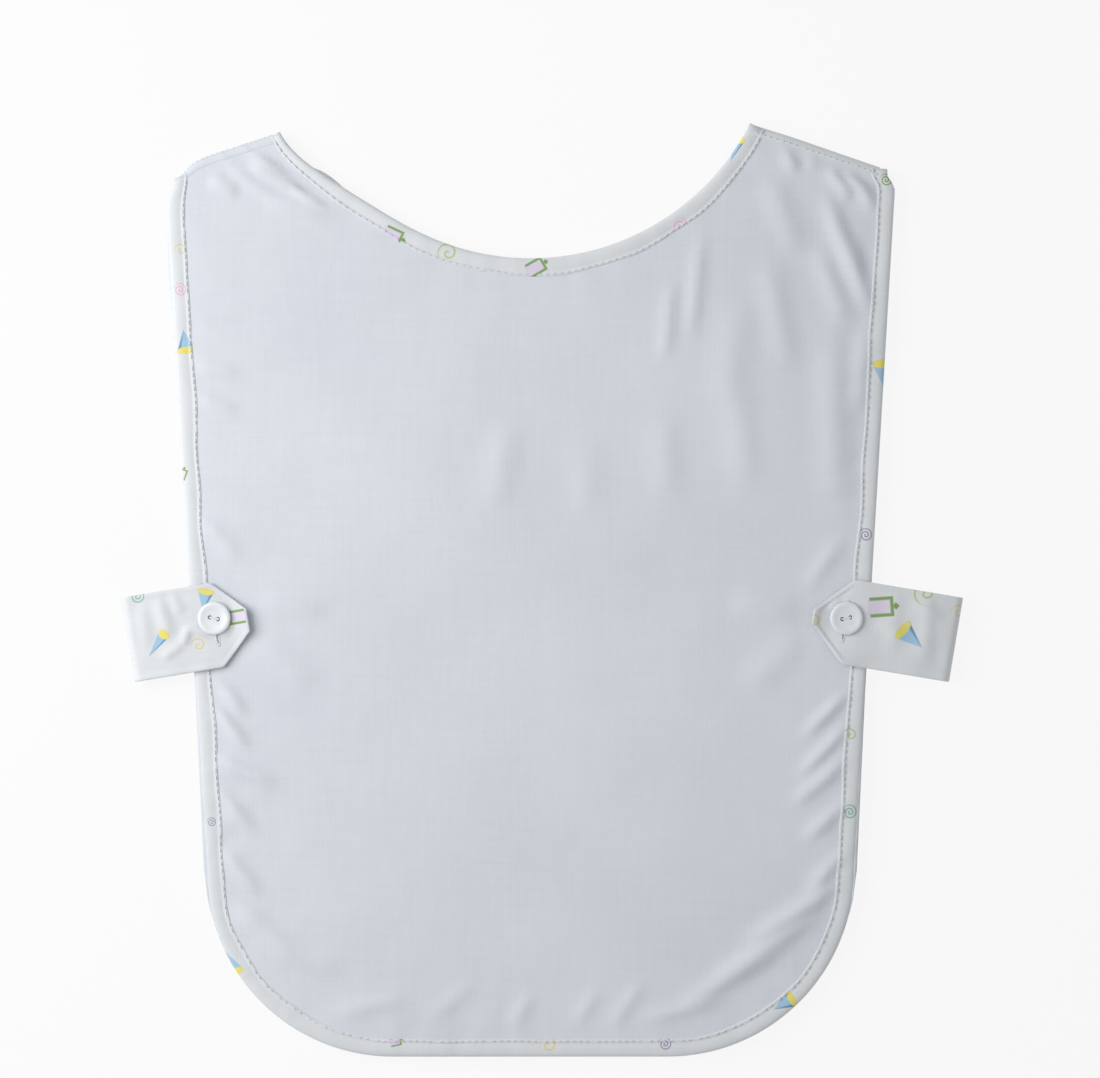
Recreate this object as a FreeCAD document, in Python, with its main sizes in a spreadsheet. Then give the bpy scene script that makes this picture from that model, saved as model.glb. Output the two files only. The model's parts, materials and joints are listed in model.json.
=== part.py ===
"""A child's pull-over cloth apron, laid flat with its back panel uppermost.

Two bound panels, front (below) and back (above), join at the shoulders. A tab sewn
into each side of the front panel runs outwards, folds over and buttons onto the
back panel.

Frame: +Z up from the table, +Y from the hem towards the shoulders, +X to the
right. The origin is the middle of the laid-out apron, on the table. Sketches of
the panels are drawn from the middle of the hem. Sketches of a tab are drawn from
the middle of its fold, with X along the tab towards its tip.
"""
import FreeCAD, Part
import math
import os
import Sketcher

# Driving sizes: millimetres and degrees.
SIZES = [
    ("length", 425, "hem to neck tips"),
    ("neck_half", 100, "middle line to a neck tip"),
    ("back_neck_depth", 61.5, "neck tips to the lowest point of the back neck"),
    ("front_neck_depth", 67.5, "the same on the front panel"),
    ("shoulder_slope", 17.5, "fall of the shoulder lines"),
    ("corner_middle", 62.5, "middle line to the centre of a hem corner"),
    ("corner_radius", 85, "round hem corners"),
    ("side_taper", 3.4, "lean of the sides, wider towards the shoulders"),
    ("cloth", 0.4, "shell and lining cloth"),
    ("core_thickness", 1.6, "sheet between shell and lining"),
    ("panel_gap", 0.4, "air between the two bound panels"),
    ("binding_width", 8, "visible width of the binding"),
    ("binding_cloth", 0.6, "doubled binding cloth on each face"),
    ("edge_play", 0.2, "panel edge to the fold of its binding"),
    ("thread_width", 0.5, "row of topstitching"),
    ("thread_height", 0.2, "topstitching above the cloth"),
    ("stitch_margin", 1, "topstitching to the inner edge of the binding"),
    ("fold_cloth", 0.8, "seam layers turned over at the shoulder"),
    ("fold_proud", 0.2, "shoulder fold above the panel face"),
    ("fold_end_gap", 2, "shoulder fold to the bindings"),
    ("shoulder_stitch", 1.5, "shoulder fold to its row of stitches"),
    ("tab_width", 39, "across a tab"),
    ("tab_droop", 9.5, "fall of the tabs towards their folds"),
    ("tab_cloth", 0.4, "shell and lining of a tab"),
    ("tab_filling", 0.4, "interfacing of a tab"),
    ("tab_lift", 1.2, "root of a tab above the table"),
    ("tab_play", 0.4, "back binding to the buttoned end of a tab"),
    ("left_fold", 179.5, "middle line to the left fold"),
    ("right_fold", 190, "middle line to the right fold"),
    ("fold_up", 190.4, "hem to the middle of the folds"),
    ("tip_reach", 15.3, "buttonhole to the tip of the tab"),
    ("tip_chamfer", 13, "cut corners of the tip"),
    ("slit_ease", 2, "buttonhole longer than the button is wide"),
    ("slit_play", 0.4, "opened buttonhole clear of the wound thread on each side"),
    ("slit_rim", 1.4, "stitched rim of a buttonhole"),
    ("rim_height", 0.2, "stitched rim above the tab"),
    ("button_middle", 143.5, "middle line to a button"),
    ("button_up", 199.7, "hem to a button"),
    ("button_turn", 12, "turn of the buttons' holes from the X axis"),
    ("button_diameter", 15, "outside of a button"),
    ("button_thickness", 2.4, "rim height of a button"),
    ("button_round", 0.8, "rounding of its rim"),
    ("button_play", 0.2, "buttonhole rim to button"),
    ("dish_diameter", 9.6, "sunk middle of a button"),
    ("dish_depth", 0.9, "depth of the sunk middle"),
    ("dish_slope", 0.7, "width of its sloping wall"),
    ("hole_diameter", 1.8, "thread holes"),
    ("hole_spacing", 3.7, "between the thread holes"),
    ("strand_play", 0.4, "thread clear of the wall of its hole"),
    ("bridge_height", 0.4, "thread from hole to hole above the dish"),
    ("shank_diameter", 2.6, "wound thread under a button"),
    ("shank_play", 0.1, "wound thread to button"),
]
size = {alias: value for alias, value, _ in SIZES}

# Heights above the table, bottom to top.
PANEL = "(2 * Sizes.cloth + Sizes.core_thickness)"
BOUND = f"({PANEL} + 2 * Sizes.binding_cloth)"
BACK_BASE = f"({BOUND} + Sizes.panel_gap)"
BACK_TOP = f"({BACK_BASE} + {BOUND})"
MID_PLANE = f"({BOUND} + Sizes.panel_gap / 2)"
TAB = "(2 * Sizes.tab_cloth + Sizes.tab_filling)"
NEAR_BASE = f"({BACK_TOP} + Sizes.tab_play)"
NEAR_TOP = f"({NEAR_BASE} + {TAB})"
BUTTON_BASE = f"({NEAR_TOP} + Sizes.rim_height + Sizes.button_play)"

# Buttonholes pass their buttons and clear the wound thread; holes pass the strands.
SLIT_LENGTH = "(Sizes.button_diameter + Sizes.slit_ease)"
SLIT_WIDTH = "(Sizes.shank_diameter + 2 * Sizes.slit_play)"
STRAND = "(Sizes.hole_diameter - 2 * Sizes.strand_play)"

# Half rings: the two tab folds and the two shoulder folds.
TAB_FOLD_MIDDLE = f"(({NEAR_TOP} + Sizes.tab_lift) / 2)"
TAB_FOLD_OUTER = f"(({NEAR_TOP} - Sizes.tab_lift) / 2)"
SHOULDER_FOLD_OUTER = f"({MID_PLANE} - Sizes.binding_cloth + Sizes.fold_proud)"

# Plan: how far the middle line lies from the middle of the laid-out apron.
MIDDLE_X = "((Sizes.left_fold - Sizes.right_fold) / 2)"
HEM_Y = "(-Sizes.length / 2)"

# Along a shoulder, from the neck tip to the side line.
SHOULDER_LENGTH = (
    "((Sizes.corner_middle + Sizes.corner_radius / cos(Sizes.side_taper * 1deg)"
    " + (Sizes.length - Sizes.corner_radius) * tan(Sizes.side_taper * 1deg)"
    " - Sizes.neck_half) / (cos(Sizes.shoulder_slope * 1deg)"
    " + sin(Sizes.shoulder_slope * 1deg) * tan(Sizes.side_taper * 1deg)))"
)
# From the middle of the hem square onto a shoulder line.
SHOULDER_REACH = (
    "(Sizes.neck_half * sin(Sizes.shoulder_slope * 1deg)"
    " + Sizes.length * cos(Sizes.shoulder_slope * 1deg))"
)

doc = FreeCAD.newDocument("PulloverApron")
sheet = doc.addObject("Spreadsheet::Sheet", "Sizes")
for row, (alias, value, note) in enumerate(SIZES, start=1):
    sheet.set(f"A{row}", note)
    sheet.set(f"B{row}", str(value))
    sheet.setAlias(f"B{row}", alias)
doc.recompute()

nodes = []
cuts = []


# ---------------------------------------------------------------- helpers
def make_body(node, x=MIDDLE_X, y=HEM_Y, turn=None):
    """A body at (x, y) on the table, turned about Z."""
    body = doc.addObject("PartDesign::Body", node)
    body.Label = node
    body.setExpression("Placement.Base.x", x)
    body.setExpression("Placement.Base.y", y)
    if turn:
        body.setExpression("Placement.Rotation.Angle", turn)
    nodes.append(body)
    return body


def make_sketch(body, name, role="XY_Plane", lift=None):
    sketch = body.newObject("Sketcher::SketchObject", f"{body.Name}_{name}")
    plane = next(item for item in body.Origin.OriginFeatures if item.Role == role)
    sketch.AttachmentSupport = [(plane, "")]
    sketch.MapMode = "FlatFace"
    if lift:
        sketch.setExpression("AttachmentOffset.Base.z", lift)
    return sketch


def pad(body, sketch, height, both_ways=False):
    feature = body.newObject("PartDesign::Pad", f"{sketch.Name}_pad")
    feature.Profile = sketch
    feature.setExpression("Length", height)
    feature.Midplane = both_ways
    return feature


def cut_up(body, sketch, height):
    """Pocket that rises from its sketch."""
    feature = body.newObject("PartDesign::Pocket", f"{sketch.Name}_cut")
    feature.Profile = sketch
    feature.Reversed = True
    feature.setExpression("Length", height)
    cuts.append(feature)
    return feature


def number(sketch, expression):
    """Value of an expression as a plain number."""
    result = sketch.evalExpression(expression)
    return float(getattr(result, "Value", result))


def drive(sketch, name, expression, kind, *places):
    """Add a dimension and bind it to the sheet."""
    start = number(sketch, expression)
    if kind == "Angle":
        start = math.radians(start)
    index = sketch.addConstraint(Sketcher.Constraint(kind, *places, start))
    sketch.renameConstraint(index, name)
    sketch.setExpression(f"Constraints.{name}", expression)


def line(sketch, start, end):
    return sketch.addGeometry(Part.LineSegment(FreeCAD.Vector(*start), FreeCAD.Vector(*end)))


def arc(sketch, centre, radius, first, last):
    """Arc drawn anticlockwise between two angles in degrees."""
    circle = Part.Circle(FreeCAD.Vector(*centre), FreeCAD.Vector(0, 0, 1), radius)
    return sketch.addGeometry(Part.ArcOfCircle(circle, math.radians(first), math.radians(last)))


def join(sketch, *pairs):
    for first, first_end, second, second_end in pairs:
        sketch.addConstraint(Sketcher.Constraint("Coincident", first, first_end, second, second_end))


def join_smoothly(sketch, *pairs):
    for first, first_end, second, second_end in pairs:
        sketch.addConstraint(Sketcher.Constraint("Tangent", first, first_end, second, second_end))


def hold_point(sketch, name, geometry, end, x, y):
    """Hold a point at x, y from the sketch's origin."""
    for axis, kind, expression in ((-2, "DistanceX", x), (-1, "DistanceY", y)):
        place = number(sketch, expression)
        if abs(place) < 1e-9:
            sketch.addConstraint(Sketcher.Constraint("PointOnObject", geometry, end, axis))
        elif place > 0:
            drive(sketch, f"{name}_{kind}", expression, kind, -1, 1, geometry, end)
        else:
            drive(sketch, f"{name}_{kind}", f"-({expression})", kind, geometry, end, -1, 1)


def polygon(sketch, corners):
    """Closed outline through corners given as pairs of expressions."""
    places = [(number(sketch, x), number(sketch, y), 0) for x, y in corners]
    edges = [line(sketch, places[i - 1], places[i]) for i in range(len(places))]
    for i, edge in enumerate(edges):
        join(sketch, (edge, 2, edges[(i + 1) % len(edges)], 1))
        hold_point(sketch, f"corner{i}", edge, 2, *corners[i])


# ---------------------------------------------------------------- panel outlines
def add_lower_edge(sketch, inset):
    """Hem, round corners and tapered sides, moved inwards; returns the sides."""
    middle = size["corner_middle"]
    height = size["corner_radius"]
    radius = height - number(sketch, inset)
    taper = size["side_taper"]
    lean = math.radians(taper)
    foot_x = middle + radius * math.cos(lean)
    foot_y = height - radius * math.sin(lean)
    top_y = size["length"]
    top_x = foot_x + (top_y - foot_y) * math.tan(lean)
    right = line(sketch, (foot_x, foot_y, 0), (top_x, top_y, 0))
    right_corner = arc(sketch, (middle, height, 0), radius, -90, -taper)
    hem = line(sketch, (-middle, height - radius, 0), (middle, height - radius, 0))
    left_corner = arc(sketch, (-middle, height, 0), radius, 180 + taper, 270)
    left = line(sketch, (-foot_x, foot_y, 0), (-top_x, top_y, 0))
    join_smoothly(sketch, (right, 1, right_corner, 2), (hem, 2, right_corner, 1))
    join_smoothly(sketch, (hem, 1, left_corner, 2), (left, 1, left_corner, 1))
    hold_point(sketch, "corner", right_corner, 3, "Sizes.corner_middle", "Sizes.corner_radius")
    sketch.addConstraint(Sketcher.Constraint("Symmetric", left_corner, 3, right_corner, 3, -2))
    sketch.addConstraint(Sketcher.Constraint("Equal", left_corner, right_corner))
    drive(sketch, "corner_radius", f"Sizes.corner_radius - {inset}", "Radius", right_corner)
    drive(sketch, "right_lean", "90 - Sizes.side_taper", "Angle", right)
    drive(sketch, "left_lean", "90 + Sizes.side_taper", "Angle", left)
    return right, left


def neck_radius(panel):
    depth = f"Sizes.{panel}_neck_depth"
    return f"((Sizes.neck_half ^ 2 + {depth} ^ 2) / (2 * {depth}))"


def neck_centre(panel):
    return f"(Sizes.length - Sizes.{panel}_neck_depth + {neck_radius(panel)})"


def add_neck_arc(sketch, panel, inset):
    radius = number(sketch, neck_radius(panel)) + number(sketch, inset)
    centre = number(sketch, neck_centre(panel))
    fall = math.degrees(math.atan2(centre - size["length"], size["neck_half"]))
    return arc(sketch, (0, centre, 0), radius, 180 + fall, 360 - fall)


def outline(sketch, panel, side_inset, neck_inset, shoulder_inset):
    """Whole panel, each edge moved inwards by its own inset."""
    right, left = add_lower_edge(sketch, side_inset)
    slope = math.radians(size["shoulder_slope"])
    along = number(sketch, SHOULDER_LENGTH)
    outer_x = size["neck_half"] + along * math.cos(slope)
    outer_y = size["length"] - along * math.sin(slope)
    tip = (size["neck_half"], size["length"], 0)
    right_shoulder = line(sketch, (outer_x, outer_y, 0), tip)
    left_shoulder = line(sketch, (-outer_x, outer_y, 0), (-tip[0], tip[1], 0))
    neck = add_neck_arc(sketch, panel, neck_inset)
    join(sketch, (right, 2, right_shoulder, 1), (left, 2, left_shoulder, 1))
    join(sketch, (right_shoulder, 2, neck, 2), (left_shoulder, 2, neck, 1))
    drive(sketch, "right_slope", "180 - Sizes.shoulder_slope", "Angle", right_shoulder)
    drive(sketch, "left_slope", "Sizes.shoulder_slope", "Angle", left_shoulder)
    reach = f"{SHOULDER_REACH} - {shoulder_inset}"
    drive(sketch, "right_reach", reach, "Distance", -1, 1, right_shoulder)
    drive(sketch, "left_reach", reach, "Distance", -1, 1, left_shoulder)
    hold_point(sketch, "neck", neck, 3, "0", neck_centre(panel))
    drive(sketch, "neck_radius", f"{neck_radius(panel)} + {neck_inset}", "Radius", neck)


def tray(sketch, inset):
    """All that lies inside the sides and hem, open past the shoulders."""
    right, left = add_lower_edge(sketch, inset)
    top = line(sketch, (-size["neck_half"], size["length"], 0), (size["neck_half"], size["length"], 0))
    join(sketch, (top, 1, left, 2), (top, 2, right, 2))
    sketch.addConstraint(Sketcher.Constraint("Horizontal", top))
    drive(sketch, "top", "Sizes.length + Sizes.binding_width", "DistanceY", -1, 1, top, 1)


def neck_band(sketch, panel, inner, outer, end_outset):
    """Band round the neck, closed along the shoulder lines."""
    inside = add_neck_arc(sketch, panel, inner)
    outside = add_neck_arc(sketch, panel, outer)
    slope = math.radians(size["shoulder_slope"])
    reach = number(sketch, outer)
    tip = (size["neck_half"], size["length"])
    far = (tip[0] + reach * math.cos(slope), tip[1] - reach * math.sin(slope))
    right = line(sketch, (*tip, 0), (*far, 0))
    left = line(sketch, (-far[0], far[1], 0), (-tip[0], tip[1], 0))
    join(sketch, (right, 1, inside, 2), (right, 2, outside, 2))
    join(sketch, (left, 2, inside, 1), (left, 1, outside, 1), (inside, 3, outside, 3))
    hold_point(sketch, "neck", inside, 3, "0", neck_centre(panel))
    drive(sketch, "inner_radius", f"{neck_radius(panel)} + {inner}", "Radius", inside)
    drive(sketch, "outer_radius", f"{neck_radius(panel)} + {outer}", "Radius", outside)
    drive(sketch, "right_slope", "-Sizes.shoulder_slope", "Angle", right)
    drive(sketch, "left_slope", "Sizes.shoulder_slope", "Angle", left)
    drive(sketch, "right_reach", f"{SHOULDER_REACH} + {end_outset}", "Distance", -1, 1, right)
    drive(sketch, "left_reach", f"{SHOULDER_REACH} + {end_outset}", "Distance", -1, 1, left)


# ---------------------------------------------------------------- panels
def make_layer(node, panel, base, thickness):
    """One sheet of a panel, held in the slot of the bindings."""
    body = make_body(node)
    sketch = make_sketch(body, "outline", lift=base)
    inset = "(Sizes.binding_cloth + Sizes.edge_play)"
    outline(sketch, panel, inset, inset, SHOULDER_FOLD_OUTER)
    pad(body, sketch, thickness)


def make_edge_binding(panel, base):
    """Doubled strip folded over the sides and hem, with a slot for the panel."""
    body = make_body(f"{panel}_edge_binding")
    whole = make_sketch(body, "whole", lift=base)
    outline(whole, panel, "0", "0", "0")
    pad(body, whole, BOUND)
    middle = make_sketch(body, "middle", lift=base)
    tray(middle, "Sizes.binding_width")
    cut_up(body, middle, BOUND)
    slot = make_sketch(body, "slot", lift=f"{base} + Sizes.binding_cloth")
    tray(slot, "Sizes.binding_cloth")
    cut_up(body, slot, PANEL)


def make_neck_binding(panel, base):
    """Doubled strip folded over the neck edge, with a slot for the panel."""
    body = make_body(f"{panel}_neck_binding")
    whole = make_sketch(body, "whole", lift=base)
    neck_band(whole, panel, "0", "Sizes.binding_width", "0")
    pad(body, whole, BOUND)
    slot = make_sketch(body, "slot", lift=f"{base} + Sizes.binding_cloth")
    neck_band(slot, panel, "Sizes.binding_cloth", "2 * Sizes.binding_width", "Sizes.binding_width")
    cut_up(body, slot, PANEL)


STITCH_OUTER = "(Sizes.binding_width - Sizes.stitch_margin - Sizes.thread_width)"
STITCH_INNER = "(Sizes.binding_width - Sizes.stitch_margin)"


def make_edge_topstitch(panel, base):
    """Row of stitches along the binding of the sides and hem."""
    body = make_body(f"{panel}_edge_topstitch")
    whole = make_sketch(body, "whole", lift=base)
    outline(whole, panel, STITCH_OUTER, "0", "0")
    pad(body, whole, "Sizes.thread_height")
    middle = make_sketch(body, "middle", lift=base)
    tray(middle, STITCH_INNER)
    cut_up(body, middle, "Sizes.thread_height")


def make_neck_topstitch(panel, base):
    """Row of stitches along the binding of the neck."""
    body = make_body(f"{panel}_neck_topstitch")
    row = make_sketch(body, "row", lift=base)
    neck_band(row, panel, STITCH_OUTER, STITCH_INNER, "0")
    pad(body, row, "Sizes.thread_height")


def make_front():
    """Front panel: printed shell underneath, lining on top."""
    base = "Sizes.binding_cloth"
    make_layer("front_shell", "front", base, "Sizes.cloth")
    make_layer("front_core", "front", f"{base} + Sizes.cloth", "Sizes.core_thickness")
    lining = f"{base} + Sizes.cloth + Sizes.core_thickness"
    make_layer("front_lining", "front", lining, "Sizes.cloth")
    make_edge_binding("front", "0")
    make_neck_binding("front", "0")
    make_edge_topstitch("front", BOUND)
    make_neck_topstitch("front", BOUND)


def make_back():
    """Back panel: lining underneath, plain shell on top."""
    base = f"{BACK_BASE} + Sizes.binding_cloth"
    make_layer("back_lining", "back", base, "Sizes.cloth")
    make_layer("back_core", "back", f"{base} + Sizes.cloth", "Sizes.core_thickness")
    shell = f"{base} + Sizes.cloth + Sizes.core_thickness"
    make_layer("back_shell", "back", shell, "Sizes.cloth")
    make_edge_binding("back", BACK_BASE)
    make_neck_binding("back", BACK_BASE)
    make_edge_topstitch("back", BACK_TOP)
    make_neck_topstitch("back", BACK_TOP)


# ---------------------------------------------------------------- folds
def half_ring(sketch, height, outer, thickness, way):
    """Half ring about a point above the origin, bulging towards way = +1 or -1."""
    middle = number(sketch, height)
    radius = number(sketch, outer)
    bore = radius - number(sketch, thickness)
    first = -90 if way > 0 else 90
    outside = arc(sketch, (0, middle, 0), radius, first, first + 180)
    inside = arc(sketch, (0, middle, 0), bore, first, first + 180)
    start = line(sketch, (0, middle - way * radius, 0), (0, middle - way * bore, 0))
    end = line(sketch, (0, middle + way * radius, 0), (0, middle + way * bore, 0))
    join(sketch, (start, 1, outside, 1), (start, 2, inside, 1))
    join(sketch, (end, 1, outside, 2), (end, 2, inside, 2), (inside, 3, outside, 3))
    hold_point(sketch, "middle", outside, 3, "0", height)
    drive(sketch, "outer", outer, "Radius", outside)
    drive(sketch, "bore", f"{outer} - {thickness}", "Radius", inside)
    for edge in (start, end):
        sketch.addConstraint(Sketcher.Constraint("Vertical", edge))
        sketch.addConstraint(Sketcher.Constraint("PointOnObject", edge, 1, -2))


def make_shoulder(name, sign):
    """Shoulder fold over both panels, and its row of stitches on the back."""
    slope = "Sizes.shoulder_slope * 1deg"
    inwards = SHOULDER_FOLD_OUTER
    out = (
        f"(Sizes.neck_half + {SHOULDER_LENGTH} / 2 * cos({slope}) - {inwards} * sin({slope}))"
    )
    up = (
        f"(Sizes.length - {SHOULDER_LENGTH} / 2 * sin({slope}) - {inwards} * cos({slope}))"
    )
    place = {
        "x": f"{MIDDLE_X} + {sign} * {out}",
        "y": f"{HEM_Y} + {up}",
        "turn": f"{-sign} * {slope}",
    }
    run = f"({SHOULDER_LENGTH} - 2 * (Sizes.binding_width + Sizes.fold_end_gap))"

    fold = make_body(f"{name}_shoulder_fold", **place)
    ring = make_sketch(fold, "ring", role="YZ_Plane")
    half_ring(ring, MID_PLANE, SHOULDER_FOLD_OUTER, "Sizes.fold_cloth", +1)
    pad(fold, ring, run, both_ways=True)

    seam = make_body(f"{name}_shoulder_topstitch", **place)
    top = f"{BACK_TOP} - Sizes.binding_cloth"
    row = make_sketch(seam, "row", lift=top)
    near = "-Sizes.shoulder_stitch"
    far = "-Sizes.shoulder_stitch - Sizes.thread_width"
    end = f"{run} / 2"
    polygon(row, [(f"-({end})", far), (end, far), (end, near), (f"-({end})", near)])
    pad(seam, row, "Sizes.thread_height")


# ---------------------------------------------------------------- tabs
def buttonhole_x(name):
    """Buttonhole along the tab, in line with its button."""
    return (
        f"((Sizes.{name}_fold - Sizes.button_middle) * cos(Sizes.tab_droop * 1deg)"
        " + (Sizes.button_up - Sizes.fold_up) * sin(Sizes.tab_droop * 1deg))"
    )


def slot(sketch, x, length, width):
    """Round-ended slot across the tab, centred on the tab's middle line."""
    place = number(sketch, x)
    radius = number(sketch, width) / 2
    half = number(sketch, length) / 2 - radius
    upper = arc(sketch, (place, half, 0), radius, 0, 180)
    lower = arc(sketch, (place, -half, 0), radius, 180, 360)
    right = line(sketch, (place + radius, -half, 0), (place + radius, half, 0))
    left = line(sketch, (place - radius, -half, 0), (place - radius, half, 0))
    join_smoothly(sketch, (right, 2, upper, 1), (left, 2, upper, 2))
    join_smoothly(sketch, (left, 1, lower, 1), (right, 1, lower, 2))
    sketch.addConstraint(Sketcher.Constraint("Symmetric", upper, 3, lower, 3, -1))
    sketch.addConstraint(Sketcher.Constraint("Equal", upper, lower))
    hold_point(sketch, "upper", upper, 3, x, f"({length} - {width}) / 2")
    drive(sketch, "radius", f"{width} / 2", "Radius", upper)


def make_near_layer(node, name, place, base, thickness):
    """One layer of the buttoned end: cut corners at the tip, and the buttonhole."""
    body = make_body(node, **place)
    plan = make_sketch(body, "plan", lift=base)
    tip = f"({buttonhole_x(name)} + Sizes.tip_reach)"
    half = "Sizes.tab_width / 2"
    cut = "Sizes.tip_chamfer"
    corners = [
        ("0", f"-{half}"),
        (f"{tip} - {cut}", f"-{half}"),
        (tip, f"{cut} - {half}"),
        (tip, f"{half} - {cut}"),
        (f"{tip} - {cut}", half),
        ("0", half),
    ]
    polygon(plan, corners)
    pad(body, plan, thickness)
    slit = make_sketch(body, "slit", lift=base)
    slot(slit, buttonhole_x(name), SLIT_LENGTH, SLIT_WIDTH)
    cut_up(body, slit, thickness)


def make_tab_root(name, place, sign):
    """Sewn-in end: from the fold to the bound side of the front panel."""
    body = make_body(f"{name}_tab_root", **place)
    plan = make_sketch(body, "plan", lift="Sizes.tab_lift")
    taper = "Sizes.side_taper * 1deg"
    gap = (
        f"((Sizes.{name}_fold - Sizes.corner_middle) * cos({taper})"
        f" - (Sizes.fold_up - Sizes.corner_radius) * sin({taper}) - Sizes.corner_radius)"
    )
    skew = "(Sizes.side_taper - Sizes.tab_droop) * 1deg"
    half = "Sizes.tab_width / 2"
    lower = f"({gap} - {sign} * {half} * sin({skew})) / cos({skew})"
    upper = f"({gap} + {sign} * {half} * sin({skew})) / cos({skew})"
    polygon(plan, [("0", f"-{half}"), (lower, f"-{half}"), (upper, half), ("0", half)])
    pad(body, plan, TAB)


def make_buttonhole_stitch(name, place):
    """Raised rim of close stitches round the slit."""
    body = make_body(f"{name}_buttonhole_stitch", **place)
    rim = make_sketch(body, "rim", lift=NEAR_TOP)
    slot(
        rim,
        buttonhole_x(name),
        f"({SLIT_LENGTH} + 2 * Sizes.slit_rim)",
        f"({SLIT_WIDTH} + 2 * Sizes.slit_rim)",
    )
    pad(body, rim, "Sizes.rim_height")
    slit = make_sketch(body, "slit", lift=NEAR_TOP)
    slot(slit, buttonhole_x(name), SLIT_LENGTH, SLIT_WIDTH)
    cut_up(body, slit, "Sizes.rim_height")


def make_tab(name, sign):
    """One side tab: root, fold, the three layers of its buttoned end, buttonhole."""
    droop = "Sizes.tab_droop * 1deg"
    place = {
        "x": f"{MIDDLE_X} + {sign} * Sizes.{name}_fold",
        "y": f"{HEM_Y} + Sizes.fold_up",
        "turn": droop if sign < 0 else f"180deg - {droop}",
    }
    make_tab_root(name, place, sign)
    fold = make_body(f"{name}_tab_fold", **place)
    ring = make_sketch(fold, "ring", role="XZ_Plane")
    half_ring(ring, TAB_FOLD_MIDDLE, TAB_FOLD_OUTER, TAB, -1)
    pad(fold, ring, "Sizes.tab_width", both_ways=True)
    filling = f"{NEAR_BASE} + Sizes.tab_cloth"
    shell = f"{filling} + Sizes.tab_filling"
    make_near_layer(f"{name}_tab_lining", name, place, NEAR_BASE, "Sizes.tab_cloth")
    make_near_layer(f"{name}_tab_interfacing", name, place, filling, "Sizes.tab_filling")
    make_near_layer(f"{name}_tab_shell", name, place, shell, "Sizes.tab_cloth")
    make_buttonhole_stitch(name, place)


# ---------------------------------------------------------------- buttons
def button_profile(sketch):
    """Half section: flat underneath, rounded rim, sunk middle."""
    radius = size["button_diameter"] / 2
    top = size["button_thickness"]
    soft = size["button_round"]
    dish = size["dish_diameter"] / 2
    floor = top - size["dish_depth"]
    foot = dish - size["dish_slope"]
    base = line(sketch, (0, 0, 0), (radius - soft, 0, 0))
    lower = arc(sketch, (radius - soft, soft, 0), soft, -90, 0)
    wall = line(sketch, (radius, soft, 0), (radius, top - soft, 0))
    upper = arc(sketch, (radius - soft, top - soft, 0), soft, 0, 90)
    rim = line(sketch, (radius - soft, top, 0), (dish, top, 0))
    slope = line(sketch, (dish, top, 0), (foot, floor, 0))
    bottom = line(sketch, (foot, floor, 0), (0, floor, 0))
    axis = line(sketch, (0, floor, 0), (0, 0, 0))
    join_smoothly(sketch, (base, 2, lower, 1), (wall, 1, lower, 2))
    join_smoothly(sketch, (wall, 2, upper, 1), (rim, 1, upper, 2))
    join(sketch, (rim, 2, slope, 1), (slope, 2, bottom, 1), (bottom, 2, axis, 1), (axis, 2, base, 1))
    for flat in (base, rim, bottom):
        sketch.addConstraint(Sketcher.Constraint("Horizontal", flat))
    for upright in (wall, axis):
        sketch.addConstraint(Sketcher.Constraint("Vertical", upright))
    sketch.addConstraint(Sketcher.Constraint("Coincident", base, 1, -1, 1))
    sketch.addConstraint(Sketcher.Constraint("Equal", lower, upper))
    drive(sketch, "round", "Sizes.button_round", "Radius", lower)
    drive(sketch, "radius", "Sizes.button_diameter / 2", "DistanceX", -1, 1, wall, 1)
    rim_end = ("Sizes.dish_diameter / 2", "Sizes.button_thickness")
    hold_point(sketch, "rim", rim, 2, *rim_end)
    floor_end = ("Sizes.dish_diameter / 2 - Sizes.dish_slope", "Sizes.button_thickness - Sizes.dish_depth")
    hold_point(sketch, "floor", slope, 2, *floor_end)


def add_pair_of_circles(sketch, diameter):
    """Two circles at the places of the thread holes."""
    half = size["hole_spacing"] / 2
    normal = FreeCAD.Vector(0, 0, 1)
    radius = number(sketch, diameter) / 2
    for way, label in ((-1, "left"), (1, "right")):
        circle = sketch.addGeometry(Part.Circle(FreeCAD.Vector(way * half, 0, 0), normal, radius))
        hold_point(sketch, label, circle, 3, f"{way} * Sizes.hole_spacing / 2", "0")
        drive(sketch, f"{label}_radius", f"{diameter} / 2", "Radius", circle)


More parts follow.
